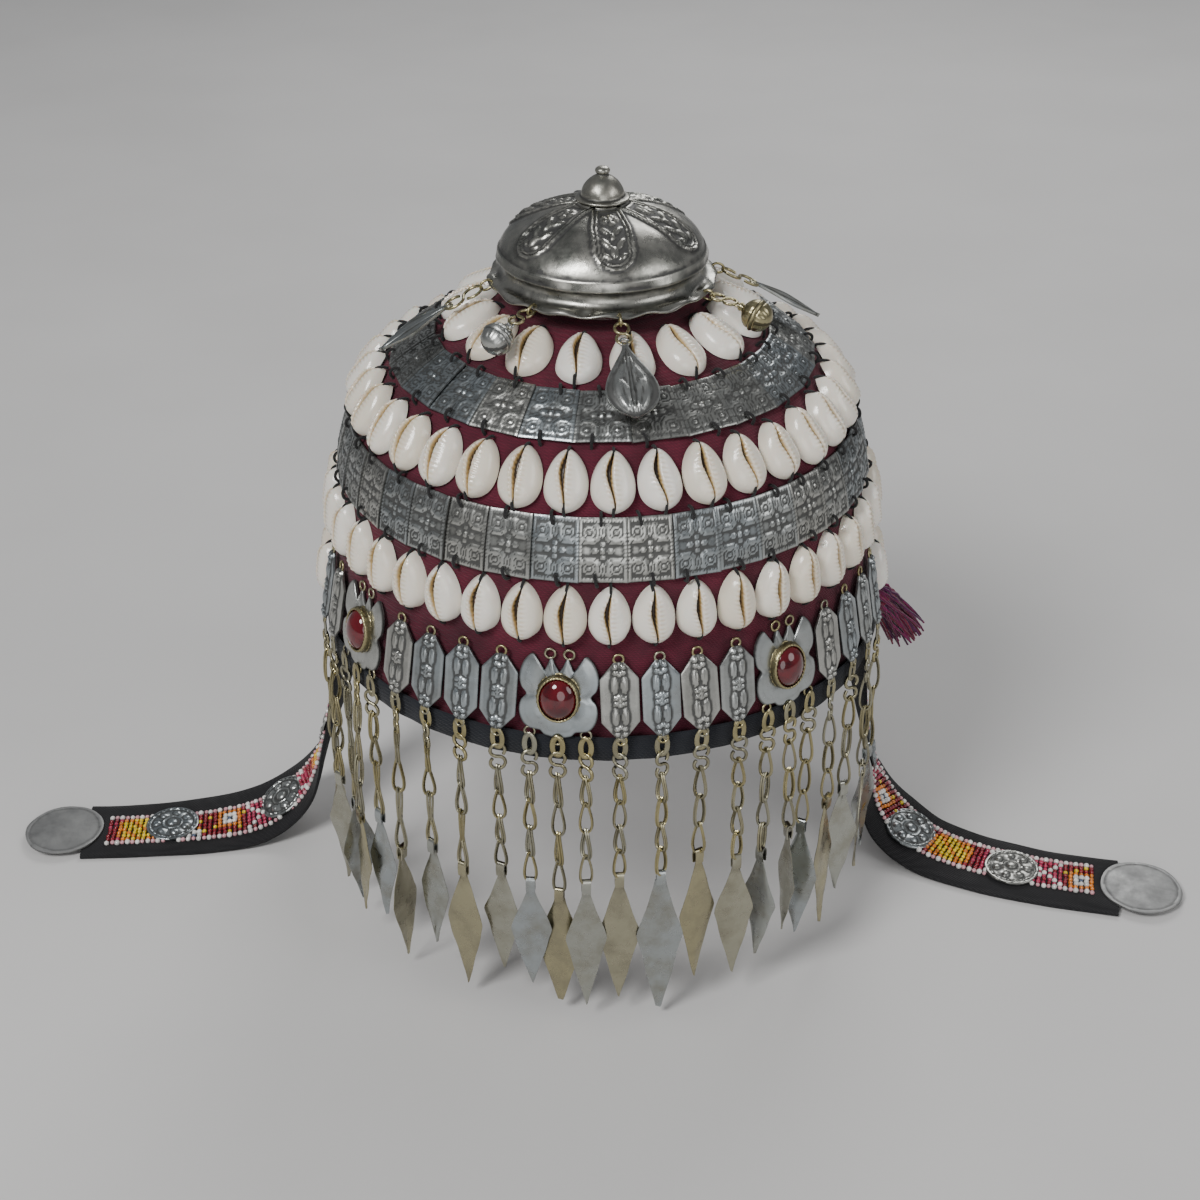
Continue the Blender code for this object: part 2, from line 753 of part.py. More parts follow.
def build_pendant(number, azimuth, form, end_share, material):
    """Links from the flange over the upper shells, and the pendant's body at their end."""
    rim = flange_radius(math.radians(azimuth)) + 1.8 * GAP
    start = outward(azimuth) * rim + Vector((0, 0, FLANGE_HEIGHT + CROWN_WALL / 2))
    end_height = end_share * CAP_HEIGHT
    body = PENDANT_FORMS[form]
    depth = max(half_depth for along, half_width, half_depth in body)
    end = place_on_wall(azimuth, end_height, PENDANT_LIFT + depth).translation
    bend = (end_height + CAP_HEIGHT) / 2 - PENDANT_SAG
    middle = place_on_wall(azimuth, bend, PENDANT_LIFT + depth).translation
    right = Vector((math.cos(math.radians(azimuth)), math.sin(math.radians(azimuth)), 0))
    rows = [(0.00, PENDANT_WIRE, PENDANT_WIRE)]
    links_end = body[0][0]
    for index in range(2):
        top = links_end * index / 2
        rows.append((top + 0.25 * links_end, PENDANT_LINK_WIDTH / 2, PENDANT_WIRE))
        if index == 0:
            rows.append((0.5 * links_end, PENDANT_WIRE, PENDANT_WIRE))
    rows += body
    sections = []
    for along, half_width, half_depth in rows:
        point = start * (1 - along) ** 2 + middle * 2 * along * (1 - along) + end * along ** 2
        tangent = ((middle - start) * (1 - along) + (end - middle) * along).normalized()
        through = right.cross(tangent).normalized()
        sections.append(flat_section(point, right, through, half_width, half_depth, 8))
    loft("pendant_%d_%s" % (number, form), sections, material)


def strap_line(side):
    """Middle line of a strap with the direction of its width, as rows of (point, across)."""
    sign = -1 if side == "left" else 1
    line = []
    for out, back, down, bearing, tilt in smooth_rows(LAPPET_ROUTES[side], 4):
        point = Vector((sign * out * LAPPET_REACH, back * LAPPET_REACH, -down * LAPPET_DROP))
        heading, lean = math.radians(bearing), math.radians(tilt)
        across = Vector((-sign * math.sin(heading) * math.cos(lean),
                         math.cos(heading) * math.cos(lean), math.sin(lean)))
        line.append((point, across))
    return line


def strap_frames(side):
    """Along each strap: distance from its top, point, width direction and outward face direction."""
    line = strap_line(side)
    frames = []
    distance = 0.0
    for index, (point, across) in enumerate(line):
        before, after = line[max(index - 1, 0)][0], line[min(index + 1, len(line) - 1)][0]
        along = (after - before).normalized()
        face = along.cross(across).normalized()
        if side == "left":
            face = -face
        across = face.cross(along).normalized()
        if index:
            distance += (point - line[index - 1][0]).length
        frames.append((distance, point, across, face))
    return frames


def strap_at(frames, distance):
    for here, there in zip(frames, frames[1:]):
        if distance <= there[0]:
            break
    share = (distance - here[0]) / (there[0] - here[0])
    point, across, face = (a.lerp(b, share) for a, b in zip(here[1:], there[1:]))
    return point, across.normalized(), face.normalized()


def build_lappet(side, felt, metal):
    frames = strap_frames(side)
    sections = [flat_section(point, across, face, STRAP_WIDTH / 2, STRAP_WALL / 2, 4)
                for distance, point, across, face in frames]
    loft("lappet_" + side, sections, felt)
    length = frames[-1][0]
    lift = STRAP_WALL / 2 + DISC_LIFT + DISC_WALL / 2
    middles = [share * length for share in DISC_PLACES[side]]
    first, last = middles[0] - DISC_RADIUS, middles[-1] + DISC_RADIUS
    steps = round((last - first) / DISC_STEP)
    sections = []
    for step in range(steps + 1):
        distance = first + (last - first) * step / steps
        half = THREAD
        for middle in middles:
            half = max(half, math.sqrt(max(DISC_RADIUS ** 2 - (distance - middle) ** 2, 0)))
        point, across, face = strap_at(frames, distance)
        sections.append(flat_section(point + face * lift, across, face, half, DISC_WALL / 2, 4))
    loft("discs_" + side, sections, metal)
    point, across, face = strap_at(frames, length)
    along = across.cross(face) if side == "left" else face.cross(across)
    middle = point + (frames[-1][1] - frames[-2][1]).normalized() * MEDALLION_PAST
    rim = ellipse(2 * MEDALLION_RADIUS, 2 * MEDALLION_RADIUS, 24)
    frame = Matrix((along.normalized(), across, face)).transposed().to_4x4()
    frame.translation = middle + face * (STRAP_WALL / 2 + GAP)
    plate("medallion_" + side, rim, DISC_WALL, frame, metal)


def build_tassel(name, azimuth, length, stand, material):
    """A hanging cord, its bound head and its skirt."""
    top = outward(azimuth) * (band_radius() - CLOTH) + Vector((0, 0, TASSEL_TOP))
    low = top + outward(azimuth) * stand * MM + Vector((0, 0, -length * MM))
    middle = top + Vector((0, 0, -0.45 * length * MM)) + outward(azimuth) * stand * 0.6 * MM
    right = Vector((math.cos(math.radians(azimuth)), math.sin(math.radians(azimuth)), 0))
    sections = []
    for along, size in TASSEL_OUTLINE:
        point = top * (1 - along) ** 2 + middle * 2 * along * (1 - along) + low * along ** 2
        tangent = ((middle - top) * (1 - along) + (low - middle) * along).normalized()
        through = right.cross(tangent).normalized()
        sections.append(flat_section(point, right, through, TASSEL_RADIUS * size, TASSEL_RADIUS * size, 10))
    loft(name, sections, material)


def main():
    for item in list(bpy.data.objects):
        bpy.data.objects.remove(item)
    crimson = make_material("crimson_cloth", (0.23, 0.02, 0.06), 0.9)
    navy = make_material("navy_cloth", (0.03, 0.035, 0.05), 0.9)
    silver = make_material("aged_silver", (0.45, 0.45, 0.43), 0.38, 1.0)
    brass = make_material("brass_alloy", (0.50, 0.45, 0.28), 0.4, 1.0)
    cowrie = make_material("cowrie_shell", (0.86, 0.82, 0.74), 0.25)
    ruby = make_material("red_glass", (0.35, 0.005, 0.015), 0.08)
    felt = make_material("embroidered_felt", (0.02, 0.02, 0.022), 0.95)
    wool = make_material("tassel_wool", (0.20, 0.01, 0.08), 0.95)
    build_cap(crimson)
    build_rim_band(navy)
    build_crown(silver)
    build_knob(silver)
    for row in SHELL_ROWS:
        build_shell_row(*row, cowrie)
    for band in PLAQUE_BANDS:
        build_plaque_band(*band, silver)
    for group in HEX_GROUPS:
        build_hex_group(*group, silver)
    for flower in FLOWERS:
        build_flower(*flower, silver, ruby)
    for number, (azimuth, stand, bail, tip, yaw) in enumerate(STRANDS, 1):
        build_strand(number, azimuth, stand * MM, bail * MM, tip * MM, yaw, brass)
    for number, pendant in enumerate(PENDANTS, 1):
        build_pendant(number, *pendant, silver)
    for side in ("left", "right"):
        build_lappet(side, felt, silver)
    for tassel in TASSELS:
        build_tassel(*tassel, wool)


main()
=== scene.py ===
import math

import bmesh
import bpy
import numpy as np
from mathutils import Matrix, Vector


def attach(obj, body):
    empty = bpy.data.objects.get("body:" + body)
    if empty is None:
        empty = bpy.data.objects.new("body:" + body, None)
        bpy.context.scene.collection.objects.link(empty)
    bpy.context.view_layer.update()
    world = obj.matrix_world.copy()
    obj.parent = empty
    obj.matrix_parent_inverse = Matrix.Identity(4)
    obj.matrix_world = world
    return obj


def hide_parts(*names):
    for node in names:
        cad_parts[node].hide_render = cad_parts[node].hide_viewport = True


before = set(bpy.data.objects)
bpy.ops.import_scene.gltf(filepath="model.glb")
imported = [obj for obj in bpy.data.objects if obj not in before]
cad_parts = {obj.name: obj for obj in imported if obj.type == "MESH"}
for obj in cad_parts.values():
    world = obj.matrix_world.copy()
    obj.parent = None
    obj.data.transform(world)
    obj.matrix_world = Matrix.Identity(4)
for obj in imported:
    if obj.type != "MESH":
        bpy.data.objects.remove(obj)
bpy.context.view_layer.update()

MM = 0.001
RANDOM = np.random.default_rng(11)

# Sizes of the hat, as the frame has them
CAP_RADIUS = 94.6 * MM
CAP_HEIGHT = 121.0 * MM
CLOTH = 2.0 * MM
CAP_SIDES = 40
GAP = 0.3 * MM
CAP_OUTLINE = (
    # height, radius
    (0.000, 1.000),
    (0.107, 0.992),
    (0.215, 0.976),
    (0.314, 0.959),
    (0.397, 0.943),
    (0.479, 0.930),
    (0.562, 0.911),
    (0.645, 0.876),
    (0.719, 0.818),
    (0.781, 0.742),
    (0.835, 0.655),
    (0.884, 0.552),
    (0.926, 0.444),
    (0.963, 0.328),
    (0.990, 0.169),
    (1.000, 0.000),
)
BAND_HEIGHT = 8.5 * MM
BAND_WALL = 1.2 * MM
BAND_RADIUS = (CAP_RADIUS + GAP) / math.cos(math.pi / CAP_SIDES)
CROWN_RADIUS = 33.6 * MM
CROWN_HEIGHT = 18.0 * MM
FLANGE_RADIUS = 36.8 * MM
FLANGE_HEIGHT = 122.6 * MM
FLANGE_WAVE = 0.45 * MM
FLANGE_WAVES = 12
NECK_HEIGHT = 7.5 * MM
SHELL_DEPTH = 6.2 * MM
SHELL_SPREAD = 1.05
SHELL_ROWS = (
    # name, height, shells, first azimuth, last azimuth, length, width
    ("cowrie_row_1", 0.921, 17, -9.3, 350.7, 20.5 * MM, 13.8 * MM),
    ("cowrie_row_2", 0.722, 35, -8.0, 352.0, 19.5 * MM, 13.2 * MM),
    ("cowrie_row_3", 0.402, 42, -7.2, 352.8, 19.5 * MM, 12.8 * MM),
    ("cowrie_row_4", 0.170, 23, 84.0, 276.0, 19.5 * MM, 12.8 * MM),
)
PLAQUE_BANDS = (
    # name, lower edge, upper edge, plaques
    ("plaque_band_upper", 0.792, 0.876, 25),
    ("plaque_band_lower", 0.492, 0.650, 38),
)
PLAQUE_WALL = 0.8 * MM
PLAQUE_STEP = 0.5 * MM
RING_TOP = 36.3 * MM
RING_BOTTOM = 7.3 * MM
RING_WALL = 0.9 * MM
RING_STAND = 1.0 * MM
HEX_WIDTH = 12.0 * MM
HEX_POINT = 5.5 * MM
LOOP_HEIGHT = 1.8 * MM
FLOWER_WIDTH = 24.6 * MM
STONE_WIDTH = 12.0 * MM
STONE_HEIGHT = 14.0 * MM
STONE_DEPTH = 4.6 * MM
HEX_GROUPS = (
    # name, azimuths
    ("hex_plaques_left_side", (-75.3, -67.5)),
    ("hex_plaques_left_front", (-42.7, -35.0, -27.3, -19.6)),
    ("hex_plaques_right_front", (3.2, 10.9, 18.4, 26.0)),
    ("hex_plaques_right_side", (49.2, 57.1, 65.0, 72.9)),
)
FLOWERS = (
    # name, azimuth
    ("left", -55.5),
    ("front", -8.2),
    ("right", 37.5),
)
STRANDS = (
    # azimuth, out mm, bail height mm, tip height mm, yaw of the blade, tint of the blade
    (-75.3, 0.0, -51, -91, 25, 0.2),
    (-67.5, 1.5, -47, -93, -30, 0.5),
    (-60.7, 0.0, -50, -95, 78, 0.8),
    (-55.5, 2.6, -49, -92, 10, 0.1),
    (-50.3, 0.0, -45, -90, -8, 0.9),
    (-42.7, 1.5, -52, -99, 78, 0.3),
    (-35.0, 0.0, -44, -87, 8, 0.7),
    (-27.3, 1.5, -47, -98, 0, 0.2),
    (-19.6, 0.0, -44, -88, 8, 0.5),
    (-13.4, 2.4, -46, -90, -10, 0.9),
    (-8.2, 0.0, -51, -98, 4, 0.1),
    (-3.0, 2.4, -45, -97, -8, 0.6),
    (3.2, 0.0, -44, -96, 0, 0.3),
    (10.9, 1.6, -43, -100, 5, 0.8),
    (18.4, 0.0, -38, -91, -14, 0.1),
    (26.0, 1.6, -43, -92, 12, 0.4),
    (32.3, 0.0, -45, -90, 78, 0.7),
    (37.5, 2.6, -38, -82, -70, 0.5),
    (42.7, 0.0, -42, -90, 68, 0.9),
    (49.2, 1.5, -37, -91, -10, 0.2),
    (57.1, 0.0, -40, -86, 30, 0.6),
    (65.0, 1.5, -40, -85, -18, 0.3),
    (72.9, 0.0, -42, -86, 25, 0.8),
)
BAIL_LENGTH = 5.0 * MM
BLADE_WIDTH = 13.0 * MM
BLADE_SHAPE = (
    # share of the way down, share of the full half width
    (0.0, 0.14),
    (0.05, 0.20),
    (0.40, 0.96),
    (0.43, 1.0),
    (0.46, 0.96),
    (1.0, 0.02),
)
BLUNT_BLADES = (11, 14)
LOOP_WIRE = 0.42 * MM
STRIP_WIRE = 0.85 * MM
HOOK_WIRE = 0.58 * MM
LINK_WIRE = 0.40 * MM
LINK_OVERLAP = 1.5 * MM
THREAD_WIRE = 0.5 * MM
STITCH_WIRE = 0.52 * MM
PENDANT_LIFT = 8.0 * MM
PENDANT_SAG = 2.8 * MM
PENDANTS = (
    # azimuth, form, height of the lower end, half depth mm
    (8.0, "drop", 0.828, 1.5),
    (62.0, "bell", 0.880, 4.8),
    (100.0, "leaf", 0.800, 0.8),
    (155.0, "bell", 0.890, 4.8),
    (181.0, "drop", 0.828, 1.5),
    (207.0, "bell", 0.890, 4.8),
    (283.0, "leaf", 0.800, 0.8),
    (324.0, "bell", 0.880, 4.8),
)
STRAP_WIDTH = 32.0 * MM
STRAP_WALL = 2.0 * MM
LAPPET_DROP = 103.0 * MM
LAPPET_REACH = 192.0 * MM
LAPPET_ROUTES = {
    # outward, backward, down, bearing, tilt
    "left": (
        (0.4425, 0.1353, -0.100, 17, 0),
        (0.4450, 0.1360, 0.020, 17, 0),
        (0.480, 0.138, 0.220, 15, 2),
        (0.508, 0.130, 0.430, 12, 5),
        (0.534, 0.112, 0.620, 9, 9),
        (0.566, 0.090, 0.780, 6, 13),
        (0.612, 0.066, 0.890, 4, 14),
        (0.680, 0.042, 0.962, 3, 10),
        (0.770, 0.026, 0.992, 2, 4),
        (0.890, 0.014, 1.000, 2, 0),
        (1.030, 0.004, 1.000, 1, 0),
    ),
    "right": (
        (0.4425, 0.1353, -0.100, 17, 0),
        (0.4450, 0.1360, 0.020, 17, 0),
        (0.478, 0.134, 0.220, 13, 2),
        (0.502, 0.122, 0.440, 7, 5),
        (0.520, 0.098, 0.650, 0, 8),
        (0.540, 0.064, 0.820, -8, 10),
        (0.574, 0.018, 0.925, -15, 9),
        (0.632, -0.040, 0.980, -18, 5),
        (0.724, -0.092, 0.998, -17, 1),
        (0.845, -0.137, 1.000, -14, 0),
        (0.990, -0.170, 1.000, -11, 0),
    ),
}
DISC_RADIUS = 10.0 * MM
DISC_LIFT = 0.8 * MM
DISC_PLACES = {"left": (0.40, 0.60, 0.83), "right": (0.42, 0.61, 0.81)}
MEDALLION_RADIUS = 14.6 * MM
MEDALLION_PAST = 8.0 * MM
TONGUE_AZIMUTH = 8.0
TASSELS = (
    # name, azimuth, length mm, how far it stands out mm
    ("tassel_right", 108.0, 36, 30),
    ("tassel_left", 236.0, 58, 7),
)
FLOOR = -104.0 * MM

# The camera: a long lens a little above the front of the hat
CAMERA_TARGET = (-0.8 * MM, 0.0, 1.0 * MM)
CAMERA_DISTANCE = 675 * MM
CAMERA_ELEVATION = 30.7
CAMERA_LENS = 57.0


# Shapes
def smooth_rows(rows, steps):
    """Points of a smooth curve through a table's rows."""
    rows = np.array(rows, float)
    last = len(rows) - 1
    out = []
    for i in range(last):
        a, b, c, d = (rows[min(max(k, 0), last)] for k in (i - 1, i, i + 1, i + 2))
        for step in range(steps):
            t = step / steps
            out.append(0.5 * (2 * b + (c - a) * t + (2 * a - 5 * b + 4 * c - d) * t * t
                              + (3 * b - a - 3 * c + d) * t ** 3))
    out.append(rows[last])
    return np.array(out)


WALL = smooth_rows(CAP_OUTLINE, 8) * (CAP_HEIGHT, CAP_RADIUS)
WALL_STEPS = np.diff(WALL, axis=0)
WALL_MIDDLES = (WALL[1:, 0] + WALL[:-1, 0]) / 2
WALL_LENGTHS = np.hypot(WALL_STEPS[:, 0], WALL_STEPS[:, 1])
WALL_OUT = WALL_STEPS[:, 0] / WALL_LENGTHS
WALL_UP = -WALL_STEPS[:, 1] / WALL_LENGTHS
WALL_RUN = np.concatenate([[0], np.cumsum(WALL_LENGTHS)])


def wall_at(height):
    """Radius of the cloth's outside at heights, and the outward normal there (out, up)."""
    radius = np.interp(height, WALL[:, 0], WALL[:, 1])
    out = np.interp(height, WALL_MIDDLES, WALL_OUT)
    up = np.interp(height, WALL_MIDDLES, WALL_UP)
    size = np.hypot(out, up)
    return radius, out / size, up / size


def outward(azimuth):
    angle = math.radians(azimuth)
    return np.array((math.sin(angle), -math.cos(angle), 0.0))


def sideways(azimuth):
    angle = math.radians(azimuth)
    return np.array((math.cos(angle), math.sin(angle), 0.0))


def unit(vector):
    vector = np.asarray(vector, float)
    return vector / np.linalg.norm(vector)


class Place:
    """A place on the hat: x to the right seen from outside, y up, z outward."""

    def __init__(self, origin, x, y, z):
        self.origin = np.asarray(origin, float)
        self.axes = np.array((x, y, z), float)

    def __call__(self, points):
        return self.origin + np.asarray(points, float) @ self.axes

    def turned(self, degrees):
        """The same place turned about its z axis."""
        c, s = math.cos(math.radians(degrees)), math.sin(math.radians(degrees))
        x, y, z = self.axes
        return Place(self.origin, x * c + y * s, y * c - x * s, z)


def place_facing(azimuth, radius, height, out, up):
    """A place round the hat whose z points out and up in the given proportion."""
    size = math.hypot(out, up)
    out, up = out / size, up / size
    normal = outward(azimuth) * out + np.array((0, 0, up))
    right = sideways(azimuth)
    origin = outward(azimuth) * radius + np.array((0, 0, height))
    return Place(origin, right, np.cross(normal, right), normal)


def place_on_wall(azimuth, height, lift):
    radius, out, up = wall_at(height)
    here = place_facing(azimuth, radius, height, out, up)
    here.origin = here.origin + here.axes[2] * lift
    return here


def ring_foot():
    return BAND_RADIUS + BAND_WALL + GAP + RING_STAND


def ring_plate_place(azimuth, lift=0.0):
    """The back of a rim plaque, leaning in from the rim band to the cloth above."""
    bottom = ring_foot()
    top = wall_at(RING_TOP)[0] + GAP + RING_STAND
    return place_facing(azimuth, (bottom + top) / 2 + lift, (RING_TOP + RING_BOTTOM) / 2,
                        RING_TOP - RING_BOTTOM, bottom - top)


def circle(count):
    """Angles spread evenly round a circle."""
    return 2 * np.pi * np.arange(count) / count


def turned_round(reach, level, angle):
    """Points turned round the hat's axis, from the front to its right."""
    return np.stack([reach * np.sin(angle), -reach * np.cos(angle), level + 0 * angle], -1)


def clamp(value):
    return np.clip(value, 0, 1)


def highest(*reliefs):
    """The highest of several reliefs, or of several marks of grime, oxide and painted shade, point by point.
    """
    out = reliefs[0]
    for relief in reliefs[1:]:
        out = np.maximum(out, relief)
    return out


def hump(distance, spread):
    """A smooth rise: 1 where the distance is 0, falling off over the spread."""
    return np.exp(-(distance / spread) ** 2)


def grid_faces(rows, columns, closed=False):
    """Quads of a grid of points numbered row by row; closed joins the last column to the first."""
    r, c = np.meshgrid(np.arange(rows - 1), np.arange(columns if closed else columns - 1), indexing="ij")
    here, above = r * columns, (r + 1) * columns
    after = (c + 1) % columns
    return np.stack([here + c, here + after, above + after, above + c], -1).reshape(-1, 4)


def end_faces(rows, columns):
    """The two faces that close a tube of rings."""
    last = (rows - 1) * columns
    return [list(range(columns))[::-1], list(range(last, last + columns))]


def joining_faces(last, first, count):
    """Quads from one ring of points to another."""
    return [[last + i, last + (i + 1) % count, first + (i + 1) % count, first + i] for i in range(count)]


def border(rows, columns):
    """Rows and columns round the edge of a grid."""
    loop = [(0, c) for c in range(columns)] + [(r, columns - 1) for r in range(1, rows)]
    loop += [(rows - 1, c) for c in range(columns - 2, -1, -1)]
    return loop + [(r, 0) for r in range(rows - 2, 0, -1)]


class Pile:
    """Points and faces gathered for one piece, with a value for grime, oxide and painted shade, one for the
    copy and a colour.
    """

    def __init__(self):
        self.points, self.faces = [], []
        self.tones, self.shades, self.tints = [], [], []
        self.size = 0

    def add(self, points, faces, tone=0.0, shade=0.0, tint=(1, 1, 1)):
        points = np.asarray(points, float).reshape(-1, 3)
        count = len(points)
        self.points.append(points)
        self.faces.extend((np.asarray(faces) + self.size).tolist())
        self.tones.append(np.broadcast_to(np.asarray(tone, float).reshape(-1), (count,)))
        self.shades.append(np.full(count, float(shade)))
        self.tints.append(np.broadcast_to(np.asarray(tint, float), (count, 3)))
        self.size += count


def make_piece(name, pile, look, replaces=(), sharp=50):
    """A piece from a pile, with its look as its material."""
    mesh = bpy.data.meshes.new(name)
    mesh.from_pydata(np.concatenate(pile.points).tolist(), [], pile.faces)
    tone = mesh.attributes.new("tone", "FLOAT", "POINT")
    tone.data.foreach_set("value", np.concatenate(pile.tones).astype(np.float32))
    shade = mesh.attributes.new("shade", "FLOAT", "POINT")
    shade.data.foreach_set("value", np.concatenate(pile.shades).astype(np.float32))
    tint = mesh.attributes.new("tint", "FLOAT_COLOR", "POINT")
    tints = np.concatenate(pile.tints)
    tint.data.foreach_set("color", np.hstack([tints, np.ones((len(tints), 1))]).astype(np.float32).ravel())
    bm = bmesh.new()
    bm.from_mesh(mesh)
    bmesh.ops.recalc_face_normals(bm, faces=bm.faces)
    bm.to_mesh(mesh)
    bm.free()
    mesh.shade_smooth()
    mesh.set_sharp_from_angle(angle=math.radians(sharp))
    mesh.materials.append(LOOKS[look])
    piece = bpy.data.objects.new(name, mesh)
    bpy.context.scene.collection.objects.link(piece)
    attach(piece, "root")
    if replaces:
        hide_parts(*replaces)
    return piece


def tube(pile, path, radius, up, sides=8, closed=False, flat=1.0, **marks):
    """A round wire along a path; flat thins it along the up direction."""
    path = np.asarray(path, float)
    if closed:
        along = np.roll(path, -1, axis=0) - np.roll(path, 1, axis=0)
    else:
        along = np.gradient(path, axis=0)
    along /= np.linalg.norm(along, axis=1, keepdims=True)
    across = np.cross(along, np.broadcast_to(np.asarray(up, float), path.shape))
    across /= np.linalg.norm(across, axis=1, keepdims=True)
    above = np.cross(across, along)
    angle = circle(sides)
    radius = np.broadcast_to(np.asarray(radius, float), (len(path),))[:, None, None]
    points = path[:, None] + radius * (np.cos(angle)[None, :, None] * across[:, None]
                                       + flat * np.sin(angle)[None, :, None] * above[:, None])
    faces = grid_faces(len(path), sides, True).tolist()
    faces += joining_faces((len(path) - 1) * sides, 0, sides) if closed else end_faces(len(path), sides)
    add_mixed(pile, points.reshape(-1, 3), faces, **marks)


def add_mixed(pile, points, faces, tone=0.0, shade=0.0, tint=(1, 1, 1)):
    """Add faces with different numbers of corners."""
    start = pile.size
    pile.add(points, np.zeros((0, 3), int), tone, shade, tint)
    pile.faces.extend([[i + start for i in face] for face in faces])


def ball(pile, centre, radius, axes, rings, sides, **marks):
    """A round bead, or an oval one with a radius for each axis."""
    up = np.pi * (np.arange(rings) + 0.5) / rings - np.pi / 2
    angle = circle(sides)
    flat = np.cos(up)[:, None]
    local = np.stack([flat * np.cos(angle), flat * np.sin(angle),
                      np.repeat(np.sin(up)[:, None], sides, 1)], -1).reshape(-1, 3)
    local = local * np.asarray(radius, float)
    faces = grid_faces(rings, sides, True).tolist() + end_faces(rings, sides)
    add_mixed(pile, np.asarray(centre) + local @ np.asarray(axes), faces, **marks)


def cavity(heights, reach=2, scale=0.16 * MM):
    """How far each point of a relief lies in a hollow, from 0 to 1."""
    wide = heights
    for axis in (0, 1):
        count = wide.shape[axis]
        padded = np.take(wide, np.clip(np.arange(-reach, count + reach), 0, count - 1), axis)
        wide = sum(np.take(padded, np.arange(k, k + count), axis) for k in range(2 * reach + 1))
        wide = wide / (2 * reach + 1)
    return clamp(0.28 + (wide - heights) / scale)


def pellets(x, y, spots, radius):
    """Round bosses at the spots, as heights from 0 to 1."""
    out = np.zeros_like(x)
    for cx, cy in spots:
        d = ((x - cx) ** 2 + (y - cy) ** 2) / radius ** 2
        out = np.maximum(out, np.sqrt(clamp(1 - d)))
    return out


def ridge(distance, half_width):
    return np.sqrt(clamp(1 - (distance / half_width) ** 2))


def oval(x, y, cx, cy, length, width, turn):
    """A leaf's boss: 1 in its middle and 0 at its edge, with a groove along it."""
    c, s = math.cos(turn), math.sin(turn)
    u = ((x - cx) * c + (y - cy) * s) / (length / 2)
    v = ((y - cy) * c - (x - cx) * s) / (width / 2)
    body = np.sqrt(clamp(1 - u ** 2 - v ** 2))
    return body * (1 - 0.45 * clamp(1 - np.abs(v) / 0.22))


def rim_spots(width, height, step):
    """Places of beads along a rectangle's border."""
    across, up = max(round(width / step), 1), max(round(height / step), 1)
    spots = [(-width / 2 + width * i / across, s * height / 2) for i in range(across + 1) for s in (-1, 1)]
    spots += [(s * width / 2, -height / 2 + height * i / up) for i in range(1, up) for s in (-1, 1)]
    return spots


def add_plate(pile, front, back, tone, shade):
    """A thin closed plate from grids of front and back points."""
    rows, columns = front.shape[:2]
    loop = border(rows, columns)
    edge = np.array([back[r, c] for r, c in loop])
    middle = back[rows // 2, columns // 2]
    count, n = rows * columns, len(loop)
    faces = grid_faces(rows, columns).tolist()
    ring = [r * columns + c for r, c in loop]
    for i in range(n):
        j = (i + 1) % n
        faces.append([ring[i], count + i, count + j, ring[j]])
        faces.append([count + i, count + n, count + j])
    points = np.vstack([front.reshape(-1, 3), edge, middle])
    tones = np.concatenate([np.asarray(tone).reshape(-1), np.full(n + 1, 0.6)])
    add_mixed(pile, points, faces, tone=tones, shade=shade)


def add_round_plate(pile, here, x, y, top, foot, tone, shade):
    """A closed plate from rings of points, the last one at its edge, with a skirt and a flat back."""
    rings, count = x.shape
    front = np.stack([x, y, top], -1).reshape(-1, 3)
    skirt = np.stack([x[-1], y[-1], np.full(count, foot)], -1)
    base = len(front)
    faces = grid_faces(rings, count, True).tolist() + joining_faces((rings - 1) * count, base, count)
    faces.append(list(range(base, base + count)))
    tones = np.concatenate([tone.reshape(-1), np.full(count, 0.5)])
    add_mixed(pile, here(np.vstack([front, skirt])), faces, tone=tones, shade=shade)


